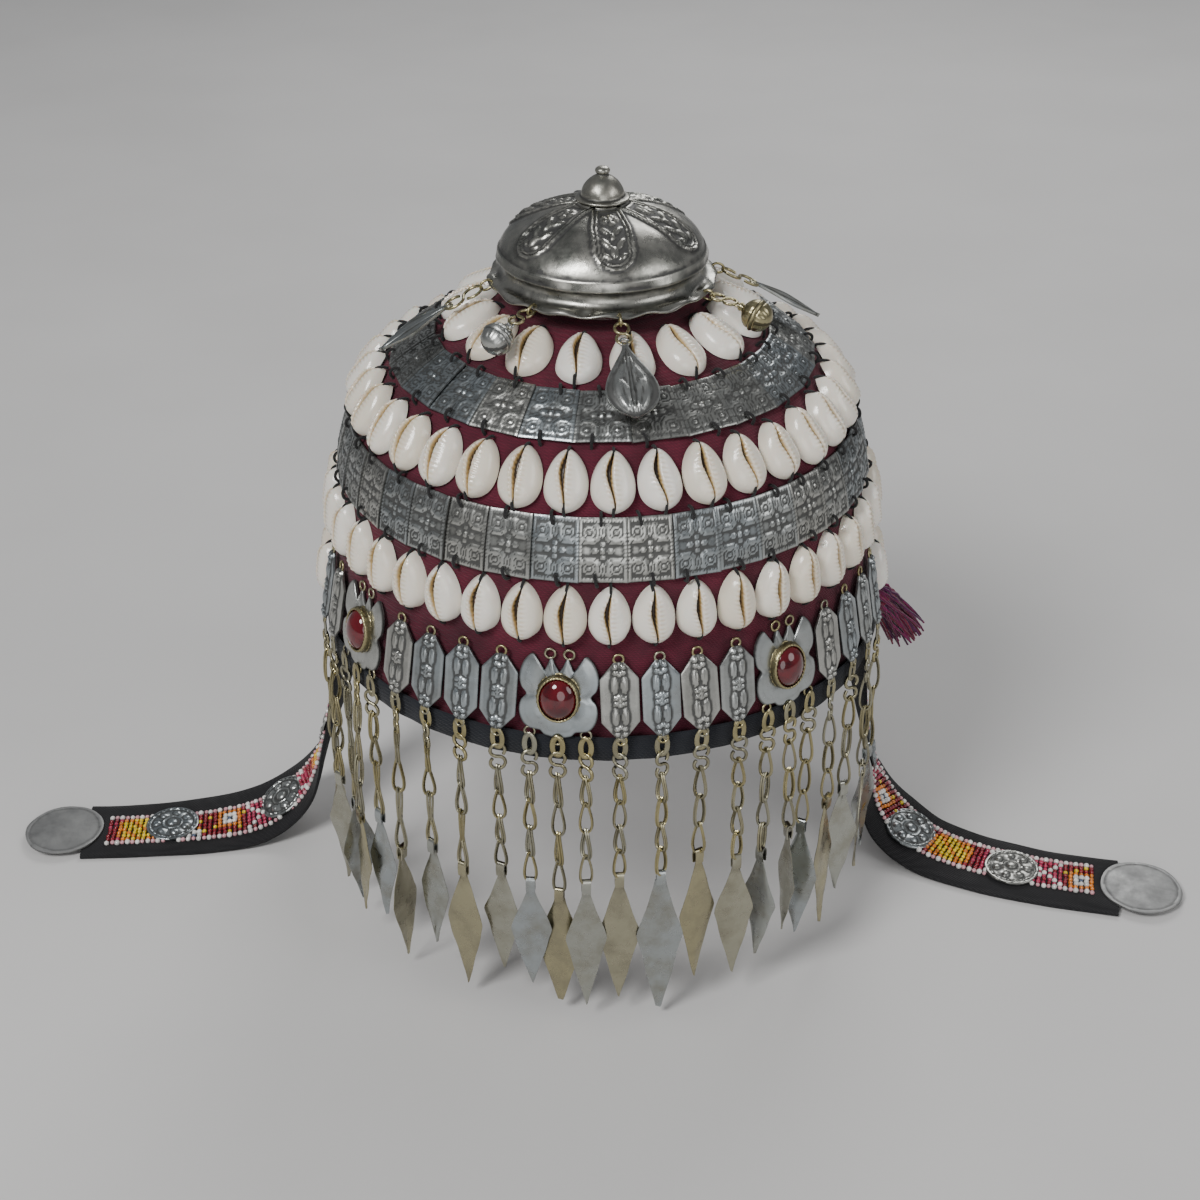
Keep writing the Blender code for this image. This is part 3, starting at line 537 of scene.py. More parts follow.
# Looks
class Look:
    """A material and the nodes that feed its shader."""

    def __init__(self, name, colour, roughness, metallic=0.0, **settings):
        self.material = bpy.data.materials.new(name)
        self.material.use_nodes = True
        self.tree = self.material.node_tree
        self.shader = self.tree.nodes["Principled BSDF"]
        self.feed(self.shader, "Base Color", colour)
        self.feed(self.shader, "Roughness", roughness)
        self.feed(self.shader, "Metallic", metallic)
        for key, value in settings.items():
            self.feed(self.shader, key.replace("_", " "), value)

    def feed(self, node, key, value):
        socket = node.inputs[key]
        if isinstance(value, bpy.types.NodeSocket):
            self.tree.links.new(value, socket)
        elif isinstance(value, tuple) and len(value) == 3 and socket.type == "RGBA":
            socket.default_value = (*value, 1.0)
        else:
            socket.default_value = value

    def node(self, kind, inputs=(), output=0, **settings):
        node = self.tree.nodes.new(kind)
        for key, value in settings.items():
            setattr(node, key, value)
        for key, value in dict(inputs).items():
            self.feed(node, key, value)
        return node.outputs[output]

    def value(self, name):
        return self.node("ShaderNodeAttribute", output=2, attribute_name=name)

    def colour(self, name):
        return self.node("ShaderNodeAttribute", output=0, attribute_name=name)

    def where(self):
        return self.node("ShaderNodeTexCoord", output=3)

    def noise(self, scale, detail=4.0, roughness=0.55):
        inputs = {"Vector": self.where(), "Scale": scale, "Detail": detail, "Roughness": roughness}
        return self.node("ShaderNodeTexNoise", inputs)

    def math(self, kind, a, b):
        return self.node("ShaderNodeMath", {0: a, 1: b}, operation=kind)

    def span(self, value, low, high, to_low=0.0, to_high=1.0):
        return self.node("ShaderNodeMapRange", {"Value": value, "From Min": low, "From Max": high,
                                                "To Min": to_low, "To Max": to_high})

    def mix(self, share, a, b):
        return self.node("ShaderNodeMix", {0: share, 6: a, 7: b}, output=2, data_type="RGBA")

    def bump(self, height, strength, distance, before=None):
        inputs = {"Height": height, "Strength": strength, "Distance": distance}
        if before is not None:
            inputs["Normal"] = before
        return self.node("ShaderNodeBump", inputs)

    def finish(self, colour, **inputs):
        """Feed the shader's inputs and give the material."""
        self.feed(self.shader, "Base Color", colour)
        for key, value in inputs.items():
            self.feed(self.shader, key, value)
        return self.material


def metal_look(name, clean, other, dirt_and_painted_shade, stain, smooth, rough, wear):
    """Old stamped metal: two tints, dark oxide in the hollows and painted shade where the tone marks holes
    and slots, stains and fine scratches.
    """
    look = Look(name, clean, 0.4, 1.0)
    tone = look.value("tone")
    body = look.mix(look.span(look.value("shade"), 0.15, 0.85), clean, other)
    clouds = look.noise(95.0, 5.0, 0.62)
    body = look.mix(look.span(clouds, 0.42, 0.68, 0.0, wear), body, stain)
    specks = look.noise(520.0, 4.0, 0.7)
    grime = look.math("MULTIPLY", look.span(specks, 0.45, 0.75), 0.35)
    depth = look.math("ADD", look.span(tone, 0.22, 0.85),
                      look.math("MULTIPLY", grime, look.span(tone, 0.1, 0.6)))
    # Dark oxide in the hollows, and painted shade where the tone marks holes and slots
    body = look.mix(look.math("MINIMUM", depth, 0.93), body, dirt_and_painted_shade)
    rest = look.span(look.noise(230.0, 4.0, 0.65), 0.3, 0.7, smooth, rough)
    dull = look.math("ADD", rest, look.span(tone, 0.3, 1.0, 0.0, 0.3))
    dents = look.bump(look.noise(160.0, 3.0, 0.5), 0.35, 0.5 * MM)
    fine = look.bump(look.noise(1500.0, 5.0, 0.7), 0.16, 0.12 * MM, dents)
    return look.finish(body, Roughness=dull, Metallic=look.span(tone, 0.5, 1.0, 1.0, 0.55), Normal=fine)


def cloth_look(name, colour, deep, weave, roughness=0.92):
    """Cloth with a fine plain weave, a little fuzz and darker worn places."""
    look = Look(name, colour, roughness, Sheen_Weight=0.08, Sheen_Roughness=0.5)
    waves = []
    for bend, direction in ((1.2, "Z"), (1.6, "DIAGONAL")):
        settings = {"Vector": look.where(), "Scale": weave, "Distortion": bend, "Detail": 2.0}
        waves.append(look.node("ShaderNodeTexWave", settings, bands_direction=direction))
    woven = look.math("MULTIPLY", *(look.span(wave, 0, 1, 0.35, 1.0) for wave in waves))
    body = look.mix(look.span(look.noise(70.0, 5.0, 0.6), 0.35, 0.7), colour, deep)
    body = look.mix(look.span(woven, 0.2, 0.9, 0.55, 0.0), body, deep)
    fuzz = look.bump(look.noise(900.0, 4.0, 0.7), 0.4, 0.3 * MM)
    return look.finish(body, Normal=look.bump(woven, 0.7, 0.35 * MM, fuzz))


def shell_look():
    look = Look("cowrie_shell", (0.80, 0.76, 0.68), 0.2, Coat_Weight=0.35, Coat_Roughness=0.12,
                Subsurface_Weight=0.08, Subsurface_Scale=0.0015)
    tone = look.value("tone")
    body = look.mix(look.span(look.value("shade"), 0.0, 1.0), (0.84, 0.81, 0.75), (0.74, 0.67, 0.55))
    clouds = look.noise(120.0, 4.0, 0.6)
    body = look.mix(look.span(clouds, 0.45, 0.75, 0.0, 0.4), body, (0.66, 0.60, 0.50))
    # Brown between the teeth, then near-black painted shade inside the slit
    body = look.mix(look.span(tone, 0.04, 0.42), body, (0.50, 0.35, 0.15))
    body = look.mix(look.span(tone, 0.5, 0.95), body, (0.035, 0.02, 0.012))
    gloss = look.span(look.noise(300.0), 0.3, 0.7, 0.14, 0.3)
    return look.finish(body, Roughness=look.math("ADD", gloss, look.span(tone, 0.2, 1.0, 0.0, 0.4)),
                       Normal=look.bump(look.noise(420.0, 3.0, 0.5), 0.12, 0.2 * MM))


def bead_look(name, roughness):
    """Small glass beads whose colours are in the mesh."""
    look = Look(name, (0.5, 0.5, 0.5), roughness, Coat_Weight=0.5, Coat_Roughness=0.08)
    spots = look.span(look.noise(800.0), 0.35, 0.7, 0.0, 0.25)
    body = look.mix(spots, look.colour("tint"), (0.05, 0.03, 0.03))
    gloss = look.span(look.noise(500.0), 0.3, 0.7, roughness * 0.7, roughness * 1.5)
    return look.finish(body, Roughness=gloss)


def wool_look(name):
    look = Look(name, (0.3, 0.05, 0.2), 0.95, Sheen_Weight=0.6, Sheen_Roughness=0.4)
    shadows = look.span(look.noise(380.0, 5.0, 0.7), 0.35, 0.7, 0.0, 0.6)
    body = look.mix(shadows, look.colour("tint"), (0.02, 0.01, 0.015))
    return look.finish(body, Normal=look.bump(look.noise(1200.0, 5.0, 0.75), 0.8, 0.3 * MM))


def stone_look():
    look = Look("red_glass", (0.10, 0.001, 0.006), 0.07, Coat_Weight=0.6, Coat_Roughness=0.03, IOR=1.5)
    clouds = look.span(look.noise(260.0, 3.0, 0.5), 0.4, 0.7)
    body = look.mix(clouds, (0.105, 0.001, 0.006), (0.035, 0.0, 0.003))
    gloss = look.span(look.noise(400.0, 3.0, 0.6), 0.4, 0.7, 0.05, 0.16)
    return look.finish(body, Roughness=gloss, Normal=look.bump(look.noise(180.0, 2.0, 0.4), 0.08, 0.5 * MM))


def floor_look():
    look = Look("pale_floor", (0.62, 0.61, 0.60), 0.8)
    body = look.mix(look.span(look.noise(6.0, 3.0), 0.3, 0.7), (0.60, 0.59, 0.58), (0.64, 0.63, 0.62))
    return look.finish(body, Normal=look.bump(look.noise(300.0, 3.0), 0.04, 1 * MM))


METALS = (
    # key, name, clean, other tint, oxide in the hollows and painted shade in holes and slots, stain, lowest
    # roughness, highest roughness, wear
    ("crown", "crown_silver",
     (0.46, 0.45, 0.41), (0.42, 0.39, 0.31), (0.045, 0.045, 0.045), (0.19, 0.20, 0.18), 0.18, 0.42, 0.8),
    ("silver", "aged_silver",
     (0.47, 0.47, 0.44), (0.38, 0.42, 0.44), (0.06, 0.06, 0.058), (0.27, 0.27, 0.25), 0.22, 0.40, 0.6),
    ("pewter", "worn_silver",
     (0.40, 0.40, 0.39), (0.36, 0.37, 0.37), (0.12, 0.12, 0.12), (0.30, 0.30, 0.30), 0.50, 0.68, 0.6),
    ("blade", "blade_metal",
     (0.42, 0.38, 0.24), (0.40, 0.43, 0.44), (0.05, 0.05, 0.045), (0.24, 0.22, 0.16), 0.20, 0.40, 0.6),
    ("brass", "brass_alloy",
     (0.40, 0.35, 0.19), (0.33, 0.32, 0.25), (0.045, 0.035, 0.018), (0.20, 0.17, 0.09), 0.20, 0.40, 0.55),
)
LOOKS = {
    "crimson": cloth_look("crimson_cloth", (0.130, 0.007, 0.026), (0.045, 0.002, 0.010), 420.0),
    "navy": cloth_look("navy_cloth", (0.010, 0.013, 0.020), (0.004, 0.005, 0.008), 460.0),
    "felt": cloth_look("embroidered_felt", (0.010, 0.009, 0.011), (0.003, 0.003, 0.004), 520.0, 0.97),
    **{key: metal_look(*settings) for key, *settings in METALS},
    "cowrie": shell_look(),
    "bead": bead_look("glass_beads", 0.22),
    "wool": wool_look("tassel_wool"),
    "stone": stone_look(),
    "thread": cloth_look("black_thread", (0.012, 0.011, 0.012), (0.004, 0.004, 0.004), 900.0, 0.8),
}


# The cloth cap
def build_cap():
    around = 160
    outline = WALL[np.linspace(0, len(WALL) - 1, 61).astype(int)]
    rows, angle = len(outline), circle(around)
    radius, out, up = outline[:, 1], *wall_at(outline[:, 0])[1:]
    pucker = 0.22 * MM * np.sin(19 * angle + 60 * outline[:, :1] / CAP_HEIGHT) * (out[:, None] > 0.3)
    pile = Pile()
    for lift, folds, shade in ((0.0, pucker, 0.0), (-CLOTH, 0, 1.0)):
        reach = np.maximum(radius + lift * out, 0)[:, None] + folds
        level = np.maximum(outline[:, 0] + lift * up, 0)[:, None]
        pile.add(turned_round(reach, level, angle), grid_faces(rows, around, True), shade=shade)
    pile.faces.extend(joining_faces(0, rows * around, around))
    cap = make_piece("cap_cloth", pile, "crimson", ["cap_shell"])


def build_rim_band():
    """A folded binding: up the outside of the rim, round its edge and up the inside."""
    inside = CAP_RADIUS - CLOTH - 0.3 * MM
    outside = BAND_RADIUS + BAND_WALL
    section = np.array([
        (outside - 0.9 * MM, BAND_HEIGHT - 0.5 * MM),
        (outside - 0.5 * MM, BAND_HEIGHT),
        (outside - 0.1 * MM, BAND_HEIGHT - 0.5 * MM),
        (outside, BAND_HEIGHT * 0.5),
        (outside - 0.1 * MM, 0.6 * MM),
        (outside - 0.8 * MM, -0.6 * MM),
        (inside + 0.2 * MM, -0.7 * MM),
        (inside - 0.5 * MM, 0.2 * MM),
        (inside - 0.6 * MM, BAND_HEIGHT * 0.5),
        (inside - 0.6 * MM, BAND_HEIGHT),
        (inside - 0.2 * MM, BAND_HEIGHT),
        (inside, BAND_HEIGHT * 0.5),
        (inside + 0.3 * MM, 0.5 * MM),
        (outside - 1.4 * MM, 0.4 * MM),
        (outside - 1.0 * MM, BAND_HEIGHT * 0.5),
    ])
    around = 360
    angle = circle(around)
    wave = 0.12 * MM * np.sin(47 * angle) + 0.1 * MM * np.sin(31 * angle + 1)
    points = turned_round(section[:, 0] + wave[:, None], section[:, 1], angle[:, None])
    pile = Pile()
    n = len(section)
    faces = grid_faces(around, n, True).tolist() + joining_faces((around - 1) * n, 0, n)
    add_mixed(pile, points.reshape(-1, 3), faces)
    band = make_piece("rim_binding", pile, "navy", ["rim_band"])


# Cowrie shells
SHELL_THREAD = (
    # share of the half length, height mm
    (0.74, 2.9),
    (0.86, 2.9),
    (0.97, 2.0),
    (1.05, 0.7),
    (1.07, -0.4),
)


def shell_shape(length, width, bend):
    """A shell seen from its toothed side: points of a grid and their tone, painted shade in the slit and
    brown between the teeth; long axis along y.
    """
    t = np.linspace(-1, 1, 49)
    q = np.linspace(-1, 1, 22)
    s = np.sign(q) * (0.35 * np.abs(q) + 0.65 * np.abs(q) ** 1.7)
    t, s = np.meshgrid(t, s, indexing="ij")
    shifted = np.clip(t - 0.14 * (1 - t ** 2), -1, 1)
    half = np.maximum(clamp(1 - np.abs(shifted) ** 2.2) ** 0.58, 0.10) * (1 + 0.05 * t)
    line = bend * (0.28 * (t + 0.15) ** 2 - 0.15 + 0.03 * np.sin(4 * t))
    d = s * np.where(s > 0, 1 - line, 1 + line)
    x = (line + d) * half
    body = clamp(1 - np.abs(s) ** 2.3) ** 0.52 * clamp(1 - np.abs(t) ** 3.6) ** 0.5
    ripple = 0.5 + 0.5 * np.cos(2 * np.pi * (6.5 * t + 0.25 * np.sign(d)))
    gape = (0.035 + 0.080 * hump(t + 0.35, 0.5)) * (1 + 0.35 * ripple)
    cut = 1 / (1 + np.exp((np.abs(d) - gape) / 0.014)) * clamp((1 - np.abs(t)) / 0.06)
    fade = np.clip(1.1 - np.abs(t), 0, 0.3) / 0.3
    left = hump(d + gape + 0.12, 0.12) * fade
    right = hump(d - gape - 0.20, 0.20) * fade
    z = SHELL_DEPTH * 0.93 * body + MM * (0.42 * (ripple - 0.5) * (left + 0.7 * right) + 0.35 * left * body)
    z = np.maximum(z - 2.6 * MM * cut * clamp(body * 2.5), 0)
    points = np.stack([x * width / 2, -t * length / 2, z], -1)
    # Tone: the slit, where near-black painted shade goes, and the grooves between the teeth
    return points, highest(cut, (0.26 - 0.22 * ripple) * left, 0.20 * (1 - ripple) * right)


def build_shell_row(name, height, count, first, last, length, width):
    whole = last - first >= 360
    step = (last - first) / (count if whole else count - 1)
    shapes = [shell_shape(length, width * SHELL_SPREAD, bend) for bend in (1.0, 0.7, 1.25, 0.85)]
    faces = grid_faces(*shapes[0][0].shape[:2])
    pile, threads = Pile(), Pile()
    for i in range(count):
        here = place_on_wall(first + step * i, height * CAP_HEIGHT, GAP).turned(RANDOM.normal(0, 2.6))
        points, tone = shapes[RANDOM.integers(len(shapes))]
        size = np.array((RANDOM.uniform(0.95, 1.0), RANDOM.uniform(0.95, 1.01), RANDOM.uniform(0.92, 1.0)))
        lean = RANDOM.normal(0, 0.02)
        local = points * size
        local[..., 2] += local[..., 0] * lean
        pile.add(here(local.reshape(-1, 3)), faces, tone, RANDOM.uniform(0, 1))
        for end in (-1, 1):
            path = [(0, end * length / 2 * share, level * MM) for share, level in SHELL_THREAD]
            path = smooth_rows(path, 3)
            path[:, 0] += RANDOM.normal(0, 0.2 * MM)
            tube(threads, here(path), THREAD_WIRE, here.axes[0], 6)
    make_piece(name.replace("row", "shells"), pile, "cowrie", [name], 80)
    make_piece(name.replace("row", "threads"), threads, "thread")


# Stamped plaques
PLAQUE_STITCH = (
    # past the edge mm, height mm
    (-3.4, 0.4),
    (-3.1, 2.2),
    (-1.3, 2.8),
    (0.1, 2.0),
    (0.6, -0.2),
)


def plaque_relief(x, y, width, height):
    """Heights of a stamped plaque: beaded border, four volutes in crescents and a flower between."""
    side = min(width, height)
    border_spots = rim_spots(width * 0.90, height * 0.92, side * 0.078)
    out = 0.32 * MM * pellets(x, y, border_spots, side * 0.036)
    curls = [(sx * width * 0.27, sy * height * 0.28) for sx in (-1, 1) for sy in (-1, 1)]
    for cx, cy in curls:
        dx, dy = (x - cx) * np.sign(cx), (y - cy) * np.sign(cy)
        r = np.hypot(dx, dy)
        facing = clamp(0.55 - (dx + dy) / np.maximum(r, 1e-6))
        out = highest(out, 0.55 * MM * pellets(x, y, [(cx, cy)], side * 0.05),
                      0.34 * MM * ridge(r - side * 0.100, side * 0.024),
                      0.50 * MM * ridge(r - side * 0.175, side * 0.036) * facing,
                      0.28 * MM * ridge(r - side * 0.238, side * 0.020) * facing)
    for sign in (-1, 1):
        out = highest(out, 0.60 * MM * oval(x, y, sign * side * 0.15, 0, side * 0.17, side * 0.11, 0),
                      0.45 * MM * oval(x, y, 0, sign * side * 0.14, side * 0.13, side * 0.07, 1.57))
    ends = [(0, sy * height * share) for sy in (-1, 1) for share in (0.22, 0.36)]
    return highest(out, 0.70 * MM * pellets(x, y, [(0, 0)], side * 0.062),
                   0.35 * MM * pellets(x, y, ends, side * 0.035))


def build_plaque_band(name, lower, upper, count):
    low, high = lower * CAP_HEIGHT, upper * CAP_HEIGHT
    run = np.interp([low, high], WALL[:, 0], WALL_RUN)
    length = run[1] - run[0]
    levels = np.interp(np.linspace(run[0], run[1], 35), WALL_RUN, WALL[:, 0])
    radius, out, up = wall_at(levels)
    tangent = math.tan(math.pi / count)
    width = 2 * wall_at((low + high) / 2)[0] * tangent
    u = np.linspace(-1, 1, 33)
    y, x = np.meshgrid(np.linspace(-length / 2, length / 2, 35), u * width / 2, indexing="ij")
    relief = plaque_relief(x, y, width, length)
    tone = cavity(relief)
    pile, stitches = Pile(), Pile()
    for number in range(count):
        azimuth = 360 * number / count
        right, forth = sideways(azimuth), outward(azimuth)
        grow = RANDOM.uniform(0.96, 1.035)
        tilt = RANDOM.normal(0, 0.25) * MM
        sink = RANDOM.uniform(-0.2, 0.15) * MM
        half = radius * tangent * 1.03 * grow
        worn = RANDOM.uniform(0.72, 1.05)
        lift = GAP + PLAQUE_WALL + PLAQUE_STEP * (u + 1) / 2 + relief * worn + sink + tilt * y / length
        lift = lift + 0.25 * MM * (RANDOM.uniform(-1, 1) * u ** 2)

        def spread(lift):
            reach = radius[:, None] + lift * out[:, None]
            flat = (half[:, None] * u)[..., None] * right
            points = reach[..., None] * forth + flat
            points[..., 2] += levels[:, None] + lift * up[:, None]
            return points

        back = lift - relief * worn - 0.5 * MM
        mark = clamp(tone + RANDOM.uniform(-0.1, 0.12))
        add_plate(pile, spread(lift), spread(back), mark, RANDOM.uniform(0, 1))
        for level, end in ((low, -1), (high, 1)):
            share = RANDOM.uniform(-0.55, 0.15)
            here = place_on_wall(azimuth + share * 180 / count, level, 0).turned(RANDOM.normal(8, 9))
            path = [(0, end * 0.9 * MM + end * past * MM, rise * MM) for past, rise in PLAQUE_STITCH]
            tube(stitches, here(smooth_rows(path, 3)), STITCH_WIRE, here.axes[0], 6)
    make_piece(name.replace("band", "stamping"), pile, "silver", [name], 60)
    make_piece(name.replace("plaque_band", "stitches"), stitches, "thread")


def wire_loop(pile, centre, x, y, half_width, half_height, wire, **marks):
    """A round or oval ring of wire in the plane of x and y."""
    angle = circle(20)
    path = (np.asarray(centre) + half_width * np.cos(angle)[:, None] * np.asarray(x)
            + half_height * np.sin(angle)[:, None] * np.asarray(y))
    tube(pile, path, wire, np.cross(x, y), 8, True, **marks)


def edge_loop(pile, here, x, y, half_width, half_height):
    """A wire loop on the edge of a rim plaque."""
    centre = here([(x, y, RING_WALL * 0.7)])[0]
    wire_loop(pile, centre, here.axes[0], here.axes[1], half_width, half_height, LOOP_WIRE,
              shade=RANDOM.uniform(0, 1), tone=0.15)


def build_hex_group(name, azimuths):
    top = (RING_TOP - RING_BOTTOM) / 2
    body = top - LOOP_HEIGHT
    v = np.linspace(-1, 1, 53)
    y = v * body
    half = np.interp(np.abs(y), [0, body - HEX_POINT, body], [HEX_WIDTH / 2, HEX_WIDTH / 2, 1.5 * MM])
    u = np.linspace(-1, 1, 27)
    y, u = np.meshgrid(y, u, indexing="ij")
    x = u * half[:, None]
    edge = np.minimum((1 - np.abs(u)) * half[:, None], body - np.abs(y))
    relief = 0.10 * MM * clamp(edge / (0.5 * MM))
    spots = [(0, 0)]
    for cy in (-10.3, 0.0, 10.3):
        spots += [(sx * 1.25 * MM, (cy + sy * 0.85) * MM) for sx in (-1, 1) for sy in (-1, 1)]
        spots += [(0, (cy + sy * 1.5) * MM) for sy in (-1, 1) if cy == 0 or sy * cy < 0]
    petals = [oval(x, y, side * 1.45 * MM, cy * MM, 6.6 * MM, 2.3 * MM, 1.57)
              for cy in (-5.3, 5.3) for side in (-1, 1)]
    relief = highest(relief, 0.95 * MM * pellets(x, y, spots, 0.95 * MM), 0.90 * MM * highest(*petals))
    tone = cavity(relief, 2, 0.2 * MM)
    pile, loops = Pile(), Pile()
    bow = 0.3 * MM * (1 - u ** 2)
    front = np.stack([x, y, RING_WALL + relief + bow], -1)
    back = np.stack([x, y, np.full_like(x, 0.25 * MM)], -1)
    for azimuth in azimuths:
        here = ring_plate_place(azimuth).turned(RANDOM.normal(0, 1.0))
        mark = clamp(tone + RANDOM.uniform(-0.08, 0.1))
        add_plate(pile, here(front), here(back), mark, RANDOM.uniform(0, 1))
        for end in (-1, 1):
            edge_loop(loops, here, 0, end * (body + 0.9 * MM), 1.55 * MM, 1.45 * MM)
    make_piece(name.replace("plaques", "stamping"), pile, "silver", [name], 60)
    make_piece(name.replace("plaques", "loops"), loops, "brass")


FLOWER_SHAPE = (
    # across, up, from the top point round the right side
    (0.00, 0.62),
    (0.10, 0.78),
    (0.20, 0.98),
    (0.30, 0.80),
    (0.38, 0.66),
    (0.52, 0.86),
    (0.64, 1.04),
    (0.76, 1.00),
    (0.92, 0.80),
    (1.00, 0.50),
    (0.96, 0.24),
    (0.82, 0.04),
    (0.96, -0.14),
    (1.00, -0.40),
    (0.93, -0.64),
    (0.78, -0.80),
    (0.60, -0.84),
    (0.45, -0.86),
    (0.36, -0.95),
    (0.20, -1.00),
    (0.00, -1.02),
)
FLOWER_LOOPS = (
    # across, up
    (-0.24, 1.0),
    (0.24, 1.0),
    (-0.72, -0.84),
    (0.0, -1.02),
    (0.72, -0.84),
)
BEZEL_PROFILE = (
    # outward from the stone's edge mm, height mm, depth of the crimps mm, crimps, darkness
    (1.3, 0.0, 0.0, 0, 0.5),
    (1.2, 0.35, 0.0, 0, 0.2),
    (1.0, 0.5, 0.22, 26, 0.1),
    (0.8, 0.6, 0.0, 0, 0.75),
    (0.7, 1.3, 0.0, 0, 0.6),
    (0.62, 2.0, 0.12, 32, 0.2),
    (0.45, 2.5, 0.12, 32, 0.05),
    (0.15, 2.7, 0.12, 32, 0.0),
    (-0.15, 2.6, 0.12, 32, 0.2),
    (-0.3, 2.2, 0.0, 0, 0.6),
    (0.1, 1.2, 0.0, 0, 0.9),
)


def build_flower(name, azimuth):
    here = ring_plate_place(azimuth, -RING_STAND).turned(RANDOM.normal(0, 1.0))
    half_w, half_h = FLOWER_WIDTH / 2, (RING_TOP - RING_BOTTOM) / 2 - 1.2 * MM
    right = smooth_rows(FLOWER_SHAPE, 6) * (half_w, half_h)
    loop = np.vstack([right, (right[1:-1] * (-1, 1))[::-1]])
    around = np.arctan2(loop[:, 0], loop[:, 1])
    order = np.argsort(around)
    around, size = around[order], np.hypot(*loop[order].T)
    angle = np.linspace(-np.pi, np.pi, 221)[:-1]
    reach = np.interp(angle, around, size, period=2 * np.pi)
    r = np.linspace(0, 1, 20)[:, None] * reach
    x, y = r * np.sin(angle), r * np.cos(angle)
    edge = reach - r
    relief = 0.16 * MM * clamp(edge / (0.6 * MM))
    relief = relief + 0.5 * MM * hump(edge - 4.5 * MM, 3.2 * MM)
    relief = relief + 0.12 * MM * np.sin(x / (2.1 * MM) + 1) * np.cos(y / (2.7 * MM))
    crease = np.abs(x + 0.35 * y - 1.2 * MM)
    relief = relief + 0.16 * MM * ridge(crease, 0.5 * MM) * (y > 7 * MM)
    tone = cavity(relief, 2, 0.2 * MM)
    pile = Pile()
    add_round_plate(pile, here, x, y, RING_WALL + relief, 0.2 * MM, tone, RANDOM.uniform(0, 1))
    make_piece("flower_stamping_" + name, pile, "silver", ["flower_plaque_" + name], 60)
    build_bezel(name, here)
    loops = Pile()
    for x, y in FLOWER_LOOPS:
        edge_loop(loops, here, x * half_w, y * half_h + math.copysign(0.9 * MM, y), 1.6 * MM, 1.5 * MM)
    make_piece("flower_loops_" + name, loops, "brass")


def build_bezel(name, here):
    """The crimped brass collar and the stone it holds."""
    around = 96
    angle = circle(around)
    rings, tones = [], []
    for out, level, depth, crimps, tone in BEZEL_PROFILE:
        rx, ry = STONE_WIDTH / 2 + out * MM, STONE_HEIGHT / 2 + out * MM
        crimped = RING_WALL + (level + depth * np.cos(crimps * angle)) * MM
        rings.append(np.stack([rx * np.cos(angle), ry * np.sin(angle), crimped], -1))
        tones += [tone] * around
    collar = Pile()
    collar.add(here(np.concatenate(rings)), grid_faces(len(rings), around, True), tones, 0.2)
    make_piece("bezel_" + name, collar, "brass")
    rings = []
    angle = angle[::2]
    for rise in np.linspace(0, np.pi / 2, 15):
        rx, ry = STONE_WIDTH / 2 * math.cos(rise), STONE_HEIGHT / 2 * math.cos(rise)
        level = np.full(len(angle), RING_WALL + GAP + STONE_DEPTH * math.sin(rise) ** 0.9)
        rings.append(np.stack([rx * np.cos(angle), ry * np.sin(angle), level], -1))
    stone = Pile()
    faces = grid_faces(len(rings), len(angle), True).tolist() + end_faces(1, len(angle))[:1]
    add_mixed(stone, here(np.concatenate(rings)), faces)
    make_piece("cabochon_" + name, stone, "stone", ["stone_" + name], 80)


# The fringe
BAIL_STRIP = (
    # over the bail's height mm, out mm
    (-4.6, 0.7),
    (-2.0, 0.95),
    (0.1, 0.7),
    (0.7, 0.0),
    (0.1, -0.7),
    (-2.0, -0.95),
    (-4.6, -0.7),
)


def link_path(top, bottom, half_width, pinch, lean):
    """A closed wire link between two heights: a long drop, pinched near its top."""
    angle = circle(24)
    along = 0.5 - 0.5 * np.cos(angle)
    width = half_width * np.sin(angle) * (pinch + (1 - pinch) * along ** 1.3) * 1.15
    level = top + (bottom - top) * along
    return np.stack([width, level, lean * np.sin(2 * angle)], -1)


def s_link(top, bottom):
    """An S of wire between two heights: two rings bent opposite ways."""
    r = (top - bottom) / 4
    a = np.linspace(-np.pi / 2 + 0.8, 1.5 * np.pi, 19)
    b = np.linspace(np.pi / 2, -1.5 * np.pi + 0.8, 19)[1:]
    middle = (top + bottom) / 2
    upper = np.stack([r * np.cos(a), middle + r + r * np.sin(a), 0 * a], -1)
    lower = np.stack([r * np.cos(b), middle - r + r * np.sin(b), 0 * b], -1)
    return np.vstack([upper, lower])


